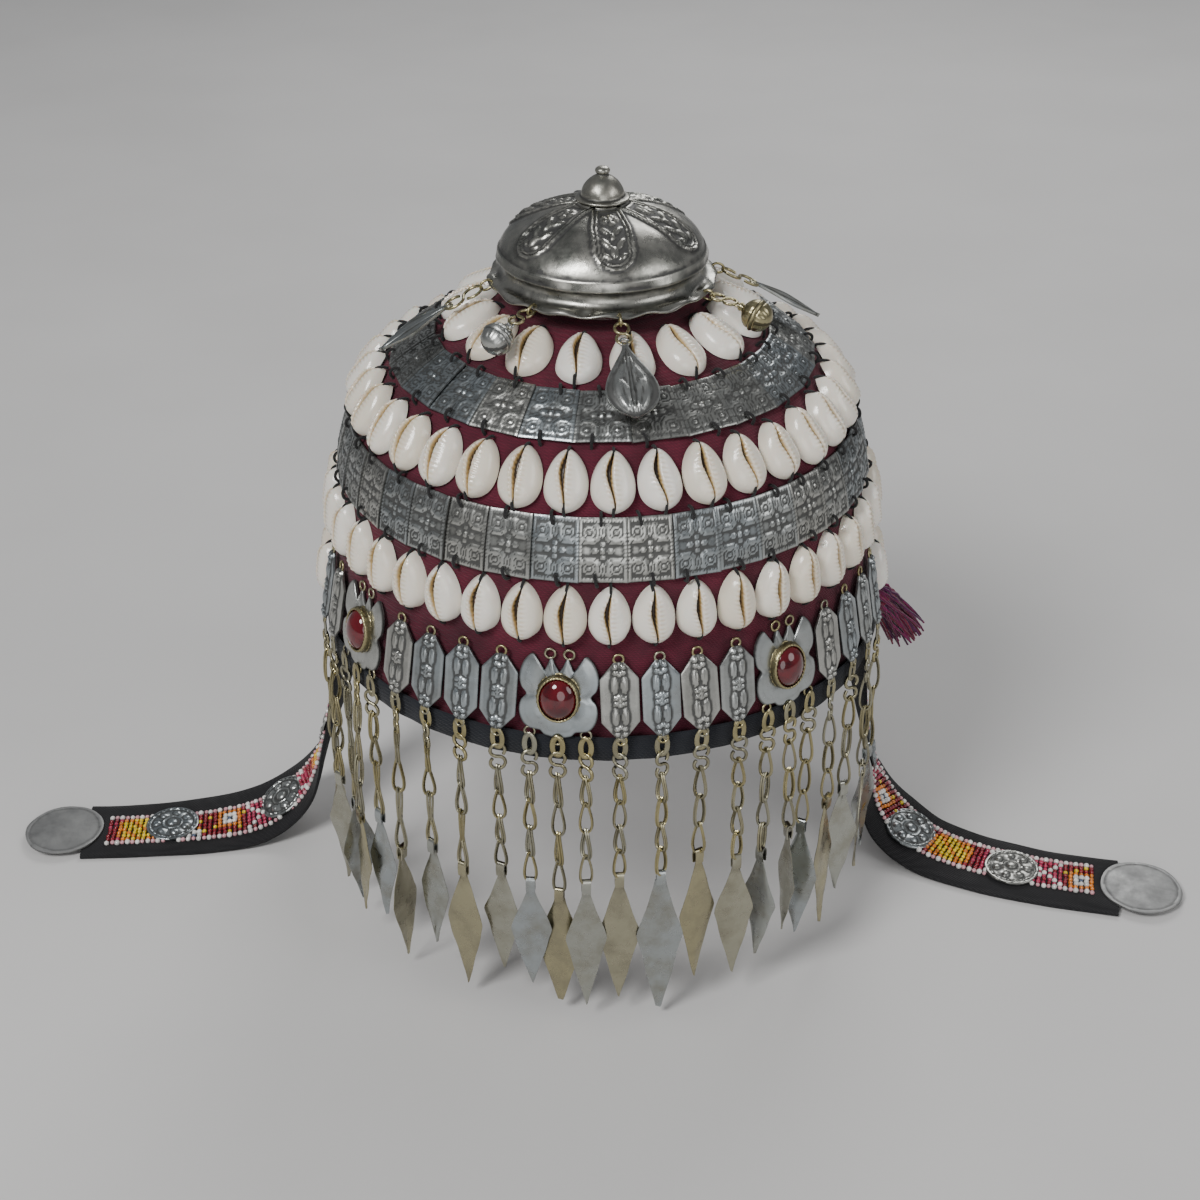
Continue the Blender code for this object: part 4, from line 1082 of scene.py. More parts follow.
def build_strand(number, azimuth, stand, bail_height, tip_height, yaw, tint):
    """Strip loop, figure-of-eight link, doubled wire links, folded bail and blade."""
    bail, tip = bail_height * MM, tip_height * MM
    top = RING_BOTTOM - GAP
    forth, right = outward(azimuth), sideways(azimuth)

    def spot(height):
        reach = ring_foot() + RING_WALL / 2 + stand * MM * min((top - height) / (top - bail), 1)
        return forth * reach + np.array((0, 0, height))

    def local(turn):
        c, s = math.cos(math.radians(turn)), math.sin(math.radians(turn))
        across = right * c + forth * s
        through = forth * c - right * s

        def to_world(points):
            return np.array([spot(y) + across * x + through * z for x, y, z in points])
        return to_world, through

    wires, tops = Pile(), Pile()
    to_world, through = local(0)
    strip = link_path(top + 2.2 * MM, top - 4.6 * MM, 1.5 * MM, 0.9, 0)
    tube(tops, to_world(strip), STRIP_WIRE, through, 8, True, 0.45, tone=0.1, shade=RANDOM.uniform(0, 1))
    level = top - 3.4 * MM
    eight = min(9.5 * MM, (level - bail) * 0.26)
    to_world, through = local(RANDOM.uniform(-35, 35))
    tube(tops, to_world(s_link(level, level - eight)), HOOK_WIRE, through, 8, tone=0.12,
         shade=RANDOM.uniform(0, 1))
    level -= eight - LINK_OVERLAP
    count = 4 if level - bail > 38 * MM else 3
    length = (level - bail + (count - 1) * LINK_OVERLAP + 1.0 * MM) / count
    for index in range(count):
        turn = RANDOM.uniform(-25, 25) if index % 2 else RANDOM.uniform(40, 80)
        to_world, through = local(turn)
        path = link_path(level, level - length, 2.35 * MM, 0.42, 0.25 * MM)
        shade = RANDOM.uniform(0, 1)
        for side in (-1, 1):
            doubled = path + (0, side * 0.25 * MM, side * 0.42 * MM)
            tube(wires, to_world(doubled), LINK_WIRE, through, 6, True, tone=0.12, shade=shade)
        level -= length - LINK_OVERLAP
    make_piece("strand_top_%02d" % number, tops, "brass")
    make_piece("strand_links_%02d" % number, wires, "brass")
    build_blade(number, local(yaw)[0], bail, tip, tint)


def add_bail(pile, to_world, bail, tint):
    """The folded strip that a blade hangs by."""
    half, half_wall = 1.5 * MM, 0.22 * MM
    rows = smooth_rows([(0.0, bail + over * MM, out * MM) for over, out in BAIL_STRIP], 4)
    inner, outer = [], []
    for i, (x, y, z) in enumerate(rows):
        along = unit(rows[min(i + 1, len(rows) - 1)] - rows[max(i - 1, 0)])
        rise, out = -along[2] * half_wall, along[1] * half_wall
        for w in (-half, half):
            outer.append((w, y + rise, z + out))
            inner.append((w, y - rise, z - out))
    n = len(rows)
    points = to_world(outer + inner)
    faces = []
    for i in range(n - 1):
        a = 2 * i
        faces += [[a, a + 1, a + 3, a + 2], [2 * n + a, 2 * n + a + 2, 2 * n + a + 3, 2 * n + a + 1]]
        faces += [[a, a + 2, 2 * n + a + 2, 2 * n + a], [a + 1, 2 * n + a + 1, 2 * n + a + 3, a + 3]]
    faces += [[0, 2 * n, 2 * n + 1, 1], [2 * n - 2, 2 * n - 1, 4 * n - 1, 4 * n - 2]]
    add_mixed(pile, points, faces, tone=0.15, shade=tint)


def build_blade(number, to_world, bail, tip, tint):
    """A slightly bent lozenge of thin metal, hanging from its bail."""
    pile = Pile()
    add_bail(pile, to_world, bail, tint)
    top = bail - BAIL_LENGTH + 1.6 * MM
    blunt = RANDOM.uniform(0.3, 1.0) * MM if number in BLUNT_BLADES else 0.15 * MM
    v = np.linspace(0, 1, 36)
    half = np.interp(v, *np.transpose(BLADE_SHAPE)) * (BLADE_WIDTH / 2 + 0.2 * MM) + blunt
    u = np.linspace(-1, 1, 9)
    y = top + (tip - top) * v
    down = np.repeat(v[:, None], len(u), 1)
    wave = 0.35 * MM * np.sin(down * RANDOM.uniform(3, 7) + RANDOM.uniform(0, 6))
    wave = wave + 0.22 * MM * np.sin(3 * u + 5 * v[:, None] + RANDOM.uniform(0, 6))
    wave = wave + 0.11 * MM * np.sin(RANDOM.uniform(18, 26) * v[:, None] + u + RANDOM.uniform(0, 6))
    crown = 0.20 * MM * (1 - u ** 2)
    uneven = 1 + 0.03 * np.sin(17 * v + RANDOM.uniform(0, 6))
    x = u * (half * uneven)[:, None]
    level = np.repeat(y[:, None], len(u), 1)
    thick = 0.28 * MM * np.clip((1 - np.abs(u)) * 6, 0.3, 1)
    front = np.stack([x, level, wave + crown + thick], -1)
    back = np.stack([x, level, wave + crown - thick], -1)
    rows, columns = len(v), len(u)
    tone = np.broadcast_to(0.12 + 0.25 * clamp(1 - v[:, None] * 6), (rows, columns))
    merged = np.concatenate([front.reshape(-1, 3), back.reshape(-1, 3)])
    count = rows * columns
    faces = grid_faces(rows, columns).tolist()
    faces += [[count + d, count + c, count + b, count + a] for a, b, c, d in faces]
    loop = [r * columns + c for r, c in border(rows, columns)]
    for i, a in enumerate(loop):
        b = loop[(i + 1) % len(loop)]
        faces.append([a, count + a, count + b, b])
    add_mixed(pile, to_world(merged), faces, tone=np.concatenate([tone.reshape(-1)] * 2), shade=tint)
    make_piece("blade_%02d" % number, pile, "blade", ["strand_%02d" % number], 40)


# The crown
CROWN_FOOT = (
    # radius mm, height over the flange's underside mm
    (28.3, -3.6), (28.6, -1.6), (29.0, 0.15), (33.0, 0.1), (36.0, 0.0), (36.9, 0.25),
    (36.9, 0.8), (36.0, 1.15), (34.6, 1.5), (33.2, 2.1), (32.3, 3.1), (31.9, 4.4),
    (32.0, 5.6), (32.6, 6.5), (33.5, 7.0), (34.0, 7.5), (33.9, 8.2),
)
# The last row of the crown's smoothed outline on the flange's edge
FLANGE_EDGE_ROW = 18
CARTOUCHE_FOOT = 10.5 * MM
CARTOUCHE_TOP = 31 * MM
ROSETTE_HEIGHT = 24.5 * MM
CARTOUCHE_LEAVES = (
    # across mm, up mm, length mm, width mm, turn
    (1.8, 19.0, 5.0, 1.9, 0.85),
    (-1.8, 19.0, 5.0, 1.9, 2.29),
    (0.0, 16.4, 3.6, 1.6, 1.57),
    (2.2, 13.6, 5.2, 2.0, 1.05),
    (-2.2, 13.6, 5.2, 2.0, 2.09),
    (0.0, 10.2, 5.0, 2.4, 1.57),
    (2.4, 8.6, 3.6, 1.6, 0.75),
    (-2.4, 8.6, 3.6, 1.6, 2.39),
)
CROWN_HOLE_AZIMUTH = 324
KNOB_PROFILE = (
    # radius mm, height mm
    (0.0, 0.1), (5.5, 0.0), (7.9, 0.1), (8.6, 0.5), (8.55, 1.0), (7.9, 1.3), (7.2, 1.5),
    (6.9, 2.0), (6.7, 3.0), (6.1, 4.4), (5.0, 5.9), (3.6, 7.1), (2.3, 7.9), (1.8, 8.4),
    (2.2, 8.8), (2.4, 9.4), (2.1, 10.1), (1.2, 10.6), (0.0, 10.75),
)


def cartouche(x, y):
    """Distance outside a tongue's outline, its inner field, and the heights of its line and of its flower."""
    half = np.interp(y, (0, 20 * MM, CARTOUCHE_TOP), (6.4 * MM, 6.4 * MM, 4.4 * MM))
    foot = np.hypot(x, y - CARTOUCHE_FOOT)
    gap = np.where(y > CARTOUCHE_FOOT, np.abs(x) - half, foot - half)
    gap = np.maximum(gap, y - CARTOUCHE_TOP)
    inner = clamp(-(gap + 1.9 * MM) / (0.3 * MM))
    line = highest(0.60 * MM * ridge(gap + 0.3 * MM, 0.50 * MM), 0.40 * MM * ridge(gap + 1.6 * MM, 0.36 * MM))
    r, way = np.hypot(x, y - ROSETTE_HEIGHT), np.arctan2(y - ROSETTE_HEIGHT, x)
    petals = clamp(1 - np.abs(r / (3.0 * MM) - 0.62) / 0.42) ** 0.6 * (0.2 + 0.8 * np.cos(2.5 * way) ** 2)
    leaves = [oval(x, y, *(MM * value for value in leaf[:4]), leaf[4]) for leaf in CARTOUCHE_LEAVES]
    flower = highest(0.75 * MM * petals, 0.8 * MM * pellets(x, y, [(0, ROSETTE_HEIGHT)], 0.9 * MM),
                     0.80 * MM * highest(*leaves))
    return gap, inner, line, flower


def build_crown():
    rows = smooth_rows(CROWN_FOOT, 3) * MM + (0, FLANGE_HEIGHT)
    rise = np.radians(np.linspace(7.5, 90, 66))
    dome = np.stack([CROWN_RADIUS * np.cos(rise) ** 1.08,
                     FLANGE_HEIGHT + NECK_HEIGHT + CROWN_HEIGHT * np.sin(rise)], -1)
    outline = np.vstack([rows, dome])
    start = len(rows)
    around = 300
    angle = circle(around)
    steps = np.gradient(outline, axis=0)
    size = np.hypot(steps[:, 0], steps[:, 1])
    normal = np.stack([steps[:, 1] / size, -steps[:, 0] / size], -1)
    run = np.concatenate([[0], np.cumsum(np.hypot(*np.diff(outline, axis=0).T))])
    run = run - run[start]
    y = np.repeat(run[:, None], around, 1)
    offset = (np.degrees(angle) - TONGUE_AZIMUTH + 30) % 60 - 30
    x = np.radians(offset) * outline[:, :1]
    row_number = np.arange(len(outline))[:, None]
    on_dome = row_number >= start
    gap, inner, line, flower = cartouche(x, y)
    marks = np.maximum(line, flower * inner)
    fade = clamp((run[-1] - y) / (6 * MM))
    relief = np.where(on_dome, marks * fade, 0)
    relief = relief + 0.35 * MM * ridge(y - 0.2 * MM, 0.45 * MM) * on_dome
    wavy = 0.5 + 0.5 * np.sin(FLANGE_WAVES * angle)
    flange = hump(outline[:, :1] - 35.2 * MM, 1.3 * MM) * (row_number > FLANGE_EDGE_ROW) * (~on_dome)
    relief = relief + 0.75 * MM * flange * wavy ** 1.5
    dents = np.sin(3 * angle + 1) * np.sin(y / (5 * MM)) + np.sin(7 * angle) * np.cos(y / (4 * MM))
    relief = relief + 0.22 * MM * dents * on_dome * fade
    rim = clamp((outline[:, :1] - 34 * MM) / (2 * MM)) * (~on_dome)
    reach = outline[:, :1] + relief * normal[:, :1] + rim * FLANGE_WAVE * np.sin(FLANGE_WAVES * angle)
    level = outline[:, 1:] + relief * normal[:, 1:] + 0.45 * MM * rim * np.sin(17 * angle + 1)
    points = turned_round(reach, level, angle)
    blotch = 0.5 + 0.5 * np.sin(9 * angle + 2) * np.sin(23 * angle)
    tone = highest(cavity(relief, 3, 0.22 * MM), hump(y + 4.5 * MM, 3.0 * MM) * 0.6,
                   hump(y - 1.6 * MM, 1.0 * MM) * (0.35 + 0.4 * blotch),
                   hump(gap, 1.1 * MM) * 0.42 * on_dome * (marks < 0.2 * MM),
                   0.42 * inner * (flower < 0.15 * MM))
    # A small hole at the dome's foot, painted as a dark spot of shade rather than cut
    hole_x = (angle - math.radians(CROWN_HOLE_AZIMUTH)) * outline[:, :1]
    hole = np.hypot(hole_x, y - 1.8 * MM)
    tone = np.where(hole < 0.9 * MM, 1.0, tone)
    pile = Pile()
    pile.add(points, grid_faces(len(outline), around, True), tone, 0.2)
    make_piece("crown_relief", pile, "crown", ["crown_dome"], 60)


def build_knob():
    base = FLANGE_HEIGHT + NECK_HEIGHT + CROWN_HEIGHT + 0.1 * MM
    profile = smooth_rows(KNOB_PROFILE, 4) * MM
    around = 96
    angle = circle(around)
    level = profile[:, 1:]
    dents = np.sin(5 * angle + 1) * np.sin(level / (1.3 * MM)) + np.sin(11 * angle) * np.cos(level / MM)
    relief = 0.05 * MM * dents * clamp((7 * MM - level) / (2 * MM))
    points = turned_round(np.maximum(profile[:, :1] + relief, 0), base + level, angle)
    grooves = highest(hump(level - 1.6 * MM, 0.4 * MM), hump(level - 8.4 * MM, 0.4 * MM))
    tone = highest(0.25 + 0 * relief, grooves * 0.8)
    pile = Pile()
    pile.add(points, grid_faces(len(profile), around, True), tone, 0.4)
    make_piece("knob_relief", pile, "crown", ["crown_knob"], 60)


# Pendants of the crown
PENDANT_FORMS = {
    # where the body starts along the curve, its metal
    "drop": (0.28, "silver"),
    "bell": (0.40, "brass"),
    "leaf": (0.34, "blade"),
}
LEAF_FORMS = {
    # half width, where it ends along the curve, copy's value, (share of the length, share of the half width)
    "drop": (8.2 * MM, 1.12, 0.35, (
        (0.0, 0.10), (0.10, 0.16), (0.26, 0.46), (0.48, 0.86),
        (0.66, 1.0), (0.82, 0.86), (0.93, 0.52), (1.0, 0.08),
    )),
    "leaf": (4.6 * MM, 1.0, 0.8, (
        (0.0, 0.14), (0.18, 0.50), (0.42, 0.96), (0.56, 1.0), (0.78, 0.56), (0.92, 0.22), (1.0, 0.04),
    )),
}
BELL_COLLAR = (
    # radius, height, as shares of the ball's radius
    (0.24, -1.28),
    (0.30, -1.16),
    (0.24, -1.04),
    (0.26, -0.97),
)


def pendant_curve(azimuth, end_share, depth):
    rim = FLANGE_RADIUS + FLANGE_WAVE * math.sin(FLANGE_WAVES * math.radians(azimuth)) + 1.8 * GAP
    start = outward(azimuth) * rim + np.array((0, 0, FLANGE_HEIGHT + 0.45 * MM))
    end_height = end_share * CAP_HEIGHT
    end = place_on_wall(azimuth, end_height, PENDANT_LIFT + depth * MM).origin
    bend = (end_height + CAP_HEIGHT) / 2 - PENDANT_SAG
    middle = place_on_wall(azimuth, bend, PENDANT_LIFT + depth * MM).origin

    def at(t):
        point = start * (1 - t) ** 2 + middle * 2 * t * (1 - t) + end * t ** 2
        along = unit((middle - start) * (1 - t) + (end - middle) * t)
        return point, along, unit(np.cross(along, sideways(azimuth)))
    return at


def build_pendant(number, azimuth, form, end_share, depth):
    at = pendant_curve(azimuth, end_share, depth)
    right = sideways(azimuth)
    wires, pile = Pile(), Pile()
    first, look = PENDANT_FORMS[form]
    point, along, through = at(0.02)
    wire_loop(wires, point - along * 0.4 * MM, through, along, 1.5 * MM, 2.1 * MM, 0.45 * MM,
              tone=0.15, shade=0.2)
    length = np.linalg.norm(at(first)[0] - at(0.06)[0])
    point, along, through = at((0.06 + first) / 2)
    here = Place(point, right, -along, through)
    tube(wires, here(s_link(length * 0.55, -length * 0.55)), 0.50 * MM, through, 8, tone=0.15, shade=0.3)
    if form == "bell":
        build_bell(pile, at, right)
    else:
        build_leaf(pile, at, right, first, form)
    make_piece("pendant_wire_%d" % number, wires, "brass")
    look = "silver" if azimuth > 300 else look
    solid = "pendant_%d_%s" % (number, form)
    make_piece("pendant_body_%d" % number, pile, look, [solid], 60)


def build_bell(pile, at, right):
    """A hollow ball bell: two halves with a seam, a collar with a ring, and a slot below painted as dark
    shade rather than cut.
    """
    top, low = at(0.43)[0], at(0.995)[0]
    axis = unit(low - top)
    radius = min(np.linalg.norm(low - top) / 2, 5.0 * MM)
    centre = low - axis * radius
    forward = unit(np.cross(right, axis))
    rows = list(BELL_COLLAR)
    for rise in np.linspace(-72, 84, 40):
        seam = 0.07 * math.exp(-((rise + 2) / 4.5) ** 2) - 0.05 * math.exp(-((abs(rise + 2) - 9) / 3) ** 2)
        rows.append((math.cos(math.radians(rise)) + seam, math.sin(math.radians(rise))))
    rows.append((0.0, 1.0))
    rows = np.array(rows)
    around = 72
    angle = circle(around)
    r, z = rows[:, :1] * radius, rows[:, 1:] * radius
    lines = 0.10 * MM * np.cos(14 * angle) * (np.abs(np.abs(z) / radius - 0.45) < 0.28)
    reach = np.maximum(r + lines, 0)
    local = np.stack([reach * np.cos(angle), reach * np.sin(angle), z + 0 * angle], -1)
    tone = clamp(0.15 + 0.7 * hump(np.abs(z / radius) - 0.12, 0.05) + 0 * angle)
    # The slot is painted shade: near-black tone where the slot would open
    slot = (np.abs(np.sin(angle) * r) < 0.55 * MM) & (z > 0.25 * radius)
    tone = np.where(slot, 1.0, tone)
    points = centre + local.reshape(-1, 3) @ np.array((right, forward, axis))
    pile.add(points, grid_faces(len(rows), around, True), tone, 0.3)
    wire_loop(pile, centre - axis * radius * 1.38, right, axis, 1.1 * MM, 1.2 * MM, 0.4 * MM,
              tone=0.1, shade=0.3)


def build_leaf(pile, at, right, first, form):
    """A flat drop or leaf blade that follows the pendant's curve, with an embossed leaf on the drop."""
    full, last, shade, outline = LEAF_FORMS[form]
    outline = smooth_rows(outline, 6)
    v = np.linspace(0, 1, 44)
    u = np.linspace(-1, 1, 29)
    half = np.interp(v, outline[:, 0], outline[:, 1]) * full
    length = np.linalg.norm(at(last)[0] - at(first)[0])
    x = u * half[:, None]
    y = np.repeat(((0.66 - v) * length)[:, None], len(u), 1)
    edge = np.minimum((1 - np.abs(u)) * half[:, None], np.minimum(v, 1 - v)[:, None] * length)
    if form == "drop":
        relief = 0.20 * MM * clamp(1 - edge / (0.5 * MM)) + 0.9 * MM * clamp((edge - 1.6 * MM) / (1.6 * MM))
        for side in (-1, 1):
            lobe = oval(x, y, side * 2.7 * MM, -1.5 * MM, 11.5 * MM, 4.4 * MM, 1.57 - side * 0.16)
            relief = relief + 0.7 * MM * lobe
            relief = relief + 0.30 * MM * ridge(x - side * 1.1 * MM, 0.30 * MM) * (edge > 1.8 * MM)
        relief = relief + 0.50 * MM * ridge(x, 0.40 * MM) * (edge > 1.6 * MM)
    else:
        relief = 0.35 * MM * ridge(x, 0.6 * MM) + 0.22 * MM * clamp(1 - edge / (0.6 * MM))
    tone = cavity(relief, 2, 0.2 * MM)
    front, back = np.zeros((*x.shape, 3)), np.zeros((*x.shape, 3))
    for i, share in enumerate(v):
        point, along, through = at(first + (last - first) * share)
        line = point + x[i][:, None] * right
        front[i] = line + (relief[i] + 0.35 * MM)[:, None] * through
        back[i] = line - 0.35 * MM * through
    add_plate(pile, front, back, tone, shade)
    point, along, through = at(first - 0.01)
    wire_loop(pile, point, right, along, 1.3 * MM, 1.4 * MM, 0.45 * MM, tone=0.1, shade=0.3)


# Lappets
def strap_frames(side):
    """Along a strap: distance from its top, point, width direction, outward face and way along."""
    sign = -1 if side == "left" else 1
    table = smooth_rows(LAPPET_ROUTES[side], 14)
    points = table[:, :3] * (sign * LAPPET_REACH, LAPPET_REACH, -LAPPET_DROP)
    heading, lean = np.radians(table[:, 3]), np.radians(table[:, 4])
    level = np.cos(lean)
    across = np.stack([-sign * np.sin(heading) * level, np.cos(heading) * level, np.sin(lean)], -1)
    along = np.gradient(points, axis=0)
    along /= np.linalg.norm(along, axis=1, keepdims=True)
    face = np.cross(along, across)
    face /= np.linalg.norm(face, axis=1, keepdims=True)
    if side == "left":
        face = -face
    across = np.cross(face, along)
    across /= np.linalg.norm(across, axis=1, keepdims=True)
    distance = np.concatenate([[0], np.cumsum(np.linalg.norm(np.diff(points, axis=0), axis=1))])
    return distance, points, across, face, along


def strap_at(frames, distance):
    """Point, width direction, face and way along the strap at distances."""
    out = []
    for field in frames[1:]:
        out.append(np.stack([np.interp(distance, frames[0], field[:, k]) for k in range(3)], -1))
    for k in (1, 2, 3):
        out[k] = out[k] / np.linalg.norm(out[k], axis=-1, keepdims=True)
    return out


def strap_place(frames, distance, lift, past=0.0):
    """A place on a strap's face, its x along the strap."""
    point, across, face, along = (field[0] for field in strap_at(frames, np.array([distance])))
    return Place(point + along * past + face * lift, along, np.cross(face, along), face)


BEAD_COLOURS = {
    "crimson": (0.26, 0.006, 0.018),
    "rose": (0.46, 0.03, 0.09),
    "pink": (0.75, 0.38, 0.42),
    "white": (0.86, 0.84, 0.80),
    "yellow": (0.85, 0.62, 0.02),
    "orange": (0.80, 0.24, 0.02),
    "eye": (0.06, 0.09, 0.16),
}
PANEL_COLUMNS = 9
PANEL_START = 0.10
PANEL_END = 0.97
BEAD_STEP = 1.9 * MM
PANEL_SHIFT = {"left": 1.6 * MM, "right": 1.2 * MM}


def panel_colour(column, row, side):
    """The bead charted at a column and row: edging, zigzags, clusters and ringed eyes by turns."""
    middle = (PANEL_COLUMNS - 1) / 2
    if column in (0, PANEL_COLUMNS - 1):
        return "white" if row % 2 else "pink"
    at = (row + (0 if side == "left" else 17)) % 44
    off = abs(column - middle)
    if at < 16:
        if abs(off - abs(at % 8 - 4)) < 0.9:
            return "white"
        return "rose" if (column + row) % 5 else "crimson"
    if at < 30:
        spot_row, spot_column = (at - 19, column - 3) if at < 25 else (at - 26, column - 7)
        ring = math.hypot(spot_row, spot_column)
        if ring < 0.8:
            return "eye"
        if ring < 1.9:
            return "white"
        if ring < 2.9:
            return "orange"
        return "yellow" if (row * 3 + column) % 7 == 0 else "crimson"
    reach = math.hypot((at - 37) * 0.8, off)
    if reach < 3.2:
        return "yellow" if (row + column) % 4 else "orange"
    if reach < 4.0:
        return "orange"
    return "crimson" if (column * 5 + row) % 6 else "rose"


def build_lappet(side):
    frames = strap_frames(side)
    length = frames[0][-1]
    distance = np.linspace(0, length, 120)
    point, across, face = strap_at(frames, distance)[:3]
    half_w, half_t = STRAP_WIDTH / 2, STRAP_WALL / 2
    section = [(s * t, t) for t in (1, -1) for s in np.linspace(-1, 1, 17)]
    pile = Pile()
    rows = []
    for s, t in section:
        thin = half_t * (0.55 if abs(s) > 0.99 else (0.9 if abs(s) > 0.86 else 1.0))
        wave = 0.28 * MM * np.sin(distance / (9 * MM) + 3 * s)
        wave = wave + 0.15 * MM * np.sin(distance / (4 * MM) - 2 * s)
        edge = 0.35 * MM * np.sin(distance / (13 * MM) + (2 if s > 0 else 0)) * abs(s)
        rows.append(point + across * (s * half_w + edge)[:, None] + face * (t * thin + wave * 0.5)[:, None])
    points = np.stack(rows, 1)
    grid = len(distance), len(section)
    add_mixed(pile, points.reshape(-1, 3), grid_faces(*grid, True).tolist() + end_faces(*grid))
    strap = make_piece("lappet_cloth_" + side, pile, "felt", ["lappet_" + side], 60)
    middles = [share * length for share in DISC_PLACES[side]]
    beads = Pile()
    radius = BEAD_STEP * 0.50
    count = int((PANEL_END - PANEL_START) * length / BEAD_STEP)
    for row in range(count):
        here = PANEL_START * length + row * BEAD_STEP
        p, a, f, g = (v[0] for v in strap_at(frames, np.array([here])))
        axes = np.array((a, g, f))
        for column in range(PANEL_COLUMNS):
            off = (column - (PANEL_COLUMNS - 1) / 2) * BEAD_STEP + PANEL_SHIFT[side]
            if any(math.hypot(here - middle, off) < DISC_RADIUS - 0.6 * MM for middle in middles):
                continue
            jitter = RANDOM.normal(0, 0.10 * MM, 2)
            centre = p + a * (off + jitter[0]) + g * jitter[1] + f * (half_t + radius * 0.55)
            colour = np.array(BEAD_COLOURS[panel_colour(column, row, side)]) * RANDOM.uniform(0.75, 1.15)
            size = radius * RANDOM.uniform(0.92, 1.08) * (1.22 if colour.min() > 0.5 else 1.0)
            ball(beads, centre, (size, size * 0.92, size * 0.85), axes, 4, 7, tint=clamp(colour))
    panel = make_piece("lappet_beads_" + side, beads, "bead", (), 80)
    build_discs(side, frames, middles)


def disc_relief(x, y, radius, rings, sectors, boss):
    r, angle = np.hypot(x, y), np.arctan2(y, x)
    out = 0.35 * MM * ridge(r - radius * 0.95, radius * 0.05)
    for ring_share, number, size in rings:
        spots = np.stack([np.cos(circle(number)), np.sin(circle(number))], -1) * radius * ring_share
        out = np.maximum(out, 0.8 * MM * pellets(x, y, spots, size))
    petals = clamp(np.cos(sectors * angle)) * hump(r / radius - 0.58, 0.16)
    return highest(out, *(0.3 * MM * ridge(r - radius * share, radius * 0.03) for share in (0.84, 0.36)),
                   0.45 * MM * petals, boss * pellets(x, y, [(0, 0)], radius * 0.2))


def worn_relief(x, y):
    """A plain worn face: a low rim and shallow dents."""
    r = np.hypot(x, y)
    dents = np.sin(x / (3.1 * MM) + 2) * np.cos(y / (3.9 * MM) + 1)
    return 0.20 * MM * ridge(r - MEDALLION_RADIUS * 0.96, MEDALLION_RADIUS * 0.04) + 0.16 * MM * dents


def add_disc(pile, here, radius, thickness, dome, relief_of, shade):
    around = 96
    angle = circle(around)
    share = np.linspace(0, 1, 26)
    r = share[:, None] * radius * (1 + 0.012 * np.sin(5 * angle + shade * 9))
    x, y = r * np.cos(angle), r * np.sin(angle)
    relief = relief_of(x, y)
    bowl = dome * (1 - share[:, None] ** 2)
    add_round_plate(pile, here, x, y, thickness + bowl + relief, 0.0, cavity(relief, 2, 0.22 * MM), shade)


def build_discs(side, frames, middles):
    pile = Pile()
    for k, middle in enumerate(middles):
        here = strap_place(frames, middle, STRAP_WALL / 2 + DISC_LIFT)
        rings = ((0.58, 7 + k % 2, 1.45 * MM), (0.86, 26, 0.45 * MM))
        add_disc(pile, here, DISC_RADIUS, 0.4 * MM, 0.7 * MM,
                 lambda x, y: disc_relief(x, y, DISC_RADIUS, rings, 6, 0.9 * MM), RANDOM.uniform(0, 1))
    make_piece("disc_stampings_" + side, pile, "silver", ["discs_" + side], 60)
    here = strap_place(frames, frames[0][-1], STRAP_WALL / 2 + GAP, MEDALLION_PAST)
    end = Pile()
    add_disc(end, here, MEDALLION_RADIUS, 0.5 * MM, 0.8 * MM, worn_relief, 0.3)
    make_piece("medallion_worn_" + side, end, "pewter", ["medallion_" + side], 60)


# Tassels
TASSEL_TINTS = {
    "tassel_right": ((0.20, 0.010, 0.085), (0.26, 0.015, 0.060), (0.12, 0.008, 0.09)),
    "tassel_left": ((0.02, 0.10, 0.06), (0.03, 0.07, 0.05), (0.02, 0.05, 0.08)),
}
TASSEL_BEADS = ((0.03, 0.22, 0.42), (0.16, 0.06, 0.30), (0.04, 0.16, 0.36), (0.20, 0.08, 0.34))
TASSEL_WIDTH = 7.6 * MM
TASSEL_THREADS = 110
TASSEL_BINDS = 5
TASSEL_BEAD_COUNT = 9


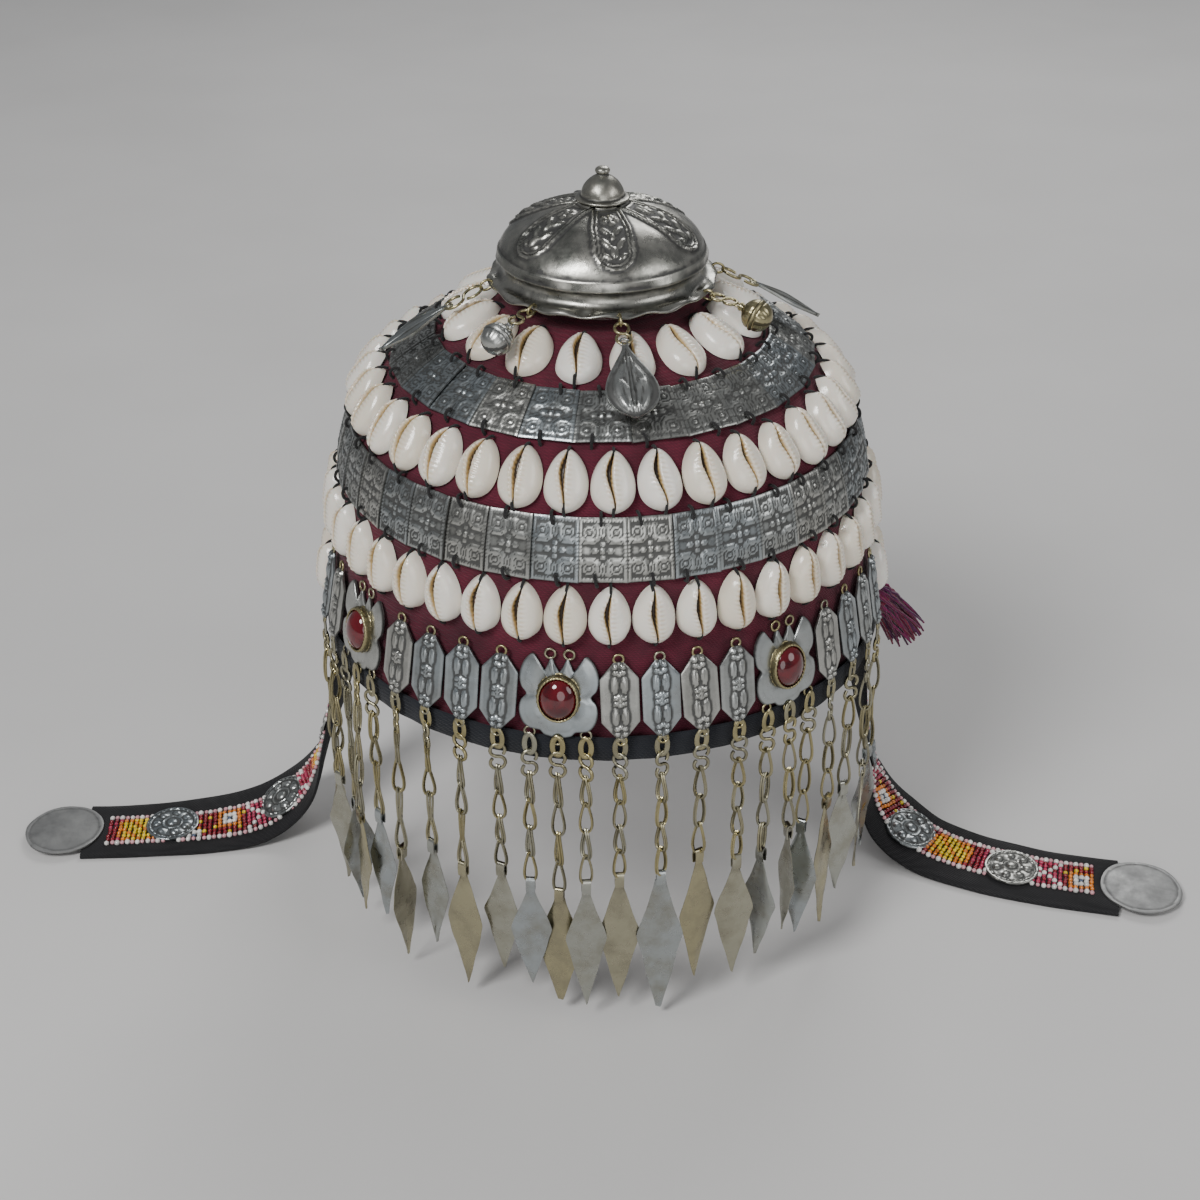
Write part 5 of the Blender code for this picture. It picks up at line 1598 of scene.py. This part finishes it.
def build_tassel(name, azimuth, length, stand):
    top = outward(azimuth) * (BAND_RADIUS - CLOTH) + np.array((0, 0, -0.75 * MM))
    low = top + outward(azimuth) * stand * MM + np.array((0, 0, -length * MM))
    middle = top + np.array((0, 0, -0.45 * length * MM)) + outward(azimuth) * stand * 0.6 * MM
    right = sideways(azimuth)

    def at(t):
        point = top * (1 - t) ** 2 + middle * 2 * t * (1 - t) + low * t ** 2
        along = unit((middle - top) * (1 - t) + (low - middle) * t)
        return point, along, np.cross(right, along)

    tints = TASSEL_TINTS[name]
    wool = Pile()
    t = np.linspace(0, 0.42, 24)
    for strand in range(3):
        path = []
        for share in t:
            point, along, through = at(share)
            angle = 60 * share + 2 * np.pi * strand / 3
            path.append(point + 0.75 * MM * (right * math.cos(angle) + through * math.sin(angle)))
        tube(wool, path, 0.8 * MM, unit(np.cross(right, along)) + 0.01, 7, False, tint=tints[0])
    for k in range(TASSEL_THREADS):
        around = RANDOM.uniform(0, 2 * np.pi)
        spread = math.sqrt(RANDOM.uniform(0, 1))
        reach = RANDOM.uniform(0.90, 1.0)
        path = []
        for share in np.linspace(0, 1, 12):
            along_share = 0.34 + (reach - 0.34) * share
            point, along, through = at(along_share)
            waist = 0.50 + 0.5 * share ** 0.8 + 0.14 * math.sin(min(share * 7, math.pi))
            waist -= 0.16 * math.exp(-((share - 0.26) / 0.06) ** 2)
            radius = TASSEL_WIDTH * waist * spread * min(1.0, 0.5 + 3 * share)
            swirl = around + 0.3 * math.sin(3 * share + k)
            path.append(point + radius * (right * math.cos(swirl) + through * math.sin(swirl)))
        tint = np.array(tints[k % 3]) * RANDOM.uniform(0.7, 1.3)
        tube(wool, path, 0.5 * MM * np.linspace(1.1, 0.8, 12), through + 0.01 * right, 5, False, tint=tint)
    for bind in range(TASSEL_BINDS):
        point, along, through = at(0.475 + 0.008 * bind)
        angle = circle(24)
        ring_path = point + 4.4 * MM * (np.cos(angle)[:, None] * right + np.sin(angle)[:, None] * through)
        tube(wool, ring_path, 0.45 * MM, along, 6, True, tint=tints[1])
    make_piece(name + "_wool", wool, "wool", [name], 80)
    beads = Pile()
    for k in range(TASSEL_BEAD_COUNT):
        point, along, through = at(0.50 + 0.055 * k)
        side = 1 if azimuth < 180 else -1
        centre = point + (through * 0.75 + right * 0.55 * side) * (5.6 + 0.25 * k) * MM
        ball(beads, centre, 1.45 * MM, np.array((right, through, along)), 7, 12, tint=TASSEL_BEADS[k % 4])
    make_piece(name + "_beads", beads, "bead", (), 80)


LIGHTS = (
    # name, place, width, power
    ("key", (-0.75, -0.95, 1.25), 0.6, 21.0),
    ("fill", (1.25, -0.65, 0.75), 0.9, 6.0),
    ("back", (0.35, 1.25, 1.05), 0.8, 9.0),
    ("front", (0.10, -1.5, 0.35), 0.9, 4.5),
)
FLOOR_HALF = 4.0


def aim(item, target):
    item.rotation_euler = (Vector(target) - item.location).to_track_quat("-Z", "Y").to_euler()


def build_stage():
    mesh = bpy.data.meshes.new("floor")
    corners = [(x * FLOOR_HALF, y * FLOOR_HALF, FLOOR) for x, y in ((-1, -1), (1, -1), (1, 1), (-1, 1))]
    mesh.from_pydata(corners, [], [(0, 1, 2, 3)])
    mesh.materials.append(floor_look())
    floor = bpy.data.objects.new("floor", mesh)
    bpy.context.scene.collection.objects.link(floor)
    world = bpy.data.worlds.new("studio")
    world.use_nodes = True
    sky = world.node_tree.nodes["Background"].inputs
    sky["Color"].default_value = (0.80, 0.82, 0.85, 1)
    sky["Strength"].default_value = 0.28
    bpy.context.scene.world = world
    for name, spot, size, power in LIGHTS:
        light = bpy.data.lights.new(name, "AREA")
        light.shape = "DISK"
        light.size = size
        light.energy = power
        lamp = bpy.data.objects.new(name, light)
        lamp.location = spot
        bpy.context.scene.collection.objects.link(lamp)
        aim(lamp, (0, 0, 0))
    camera = bpy.data.objects.new("camera", bpy.data.cameras.new("camera"))
    lift = math.radians(CAMERA_ELEVATION)
    camera.location = Vector(CAMERA_TARGET) + CAMERA_DISTANCE * Vector((0, -math.cos(lift), math.sin(lift)))
    camera.data.lens = CAMERA_LENS
    camera.data.clip_start = 0.01
    aim(camera, CAMERA_TARGET)
    bpy.context.scene.collection.objects.link(camera)
    bpy.context.scene.camera = camera


build_stage()
build_cap()
build_rim_band()
for row in SHELL_ROWS:
    build_shell_row(*row)
for band in PLAQUE_BANDS:
    build_plaque_band(*band)
for group in HEX_GROUPS:
    build_hex_group(*group)
for flower in FLOWERS:
    build_flower(*flower)
for index, strand in enumerate(STRANDS, 1):
    build_strand(index, *strand)
build_crown()
build_knob()
for index, pendant in enumerate(PENDANTS, 1):
    build_pendant(index, *pendant)
for side in ("left", "right"):
    build_lappet(side)
for tassel in TASSELS:
    build_tassel(*tassel)
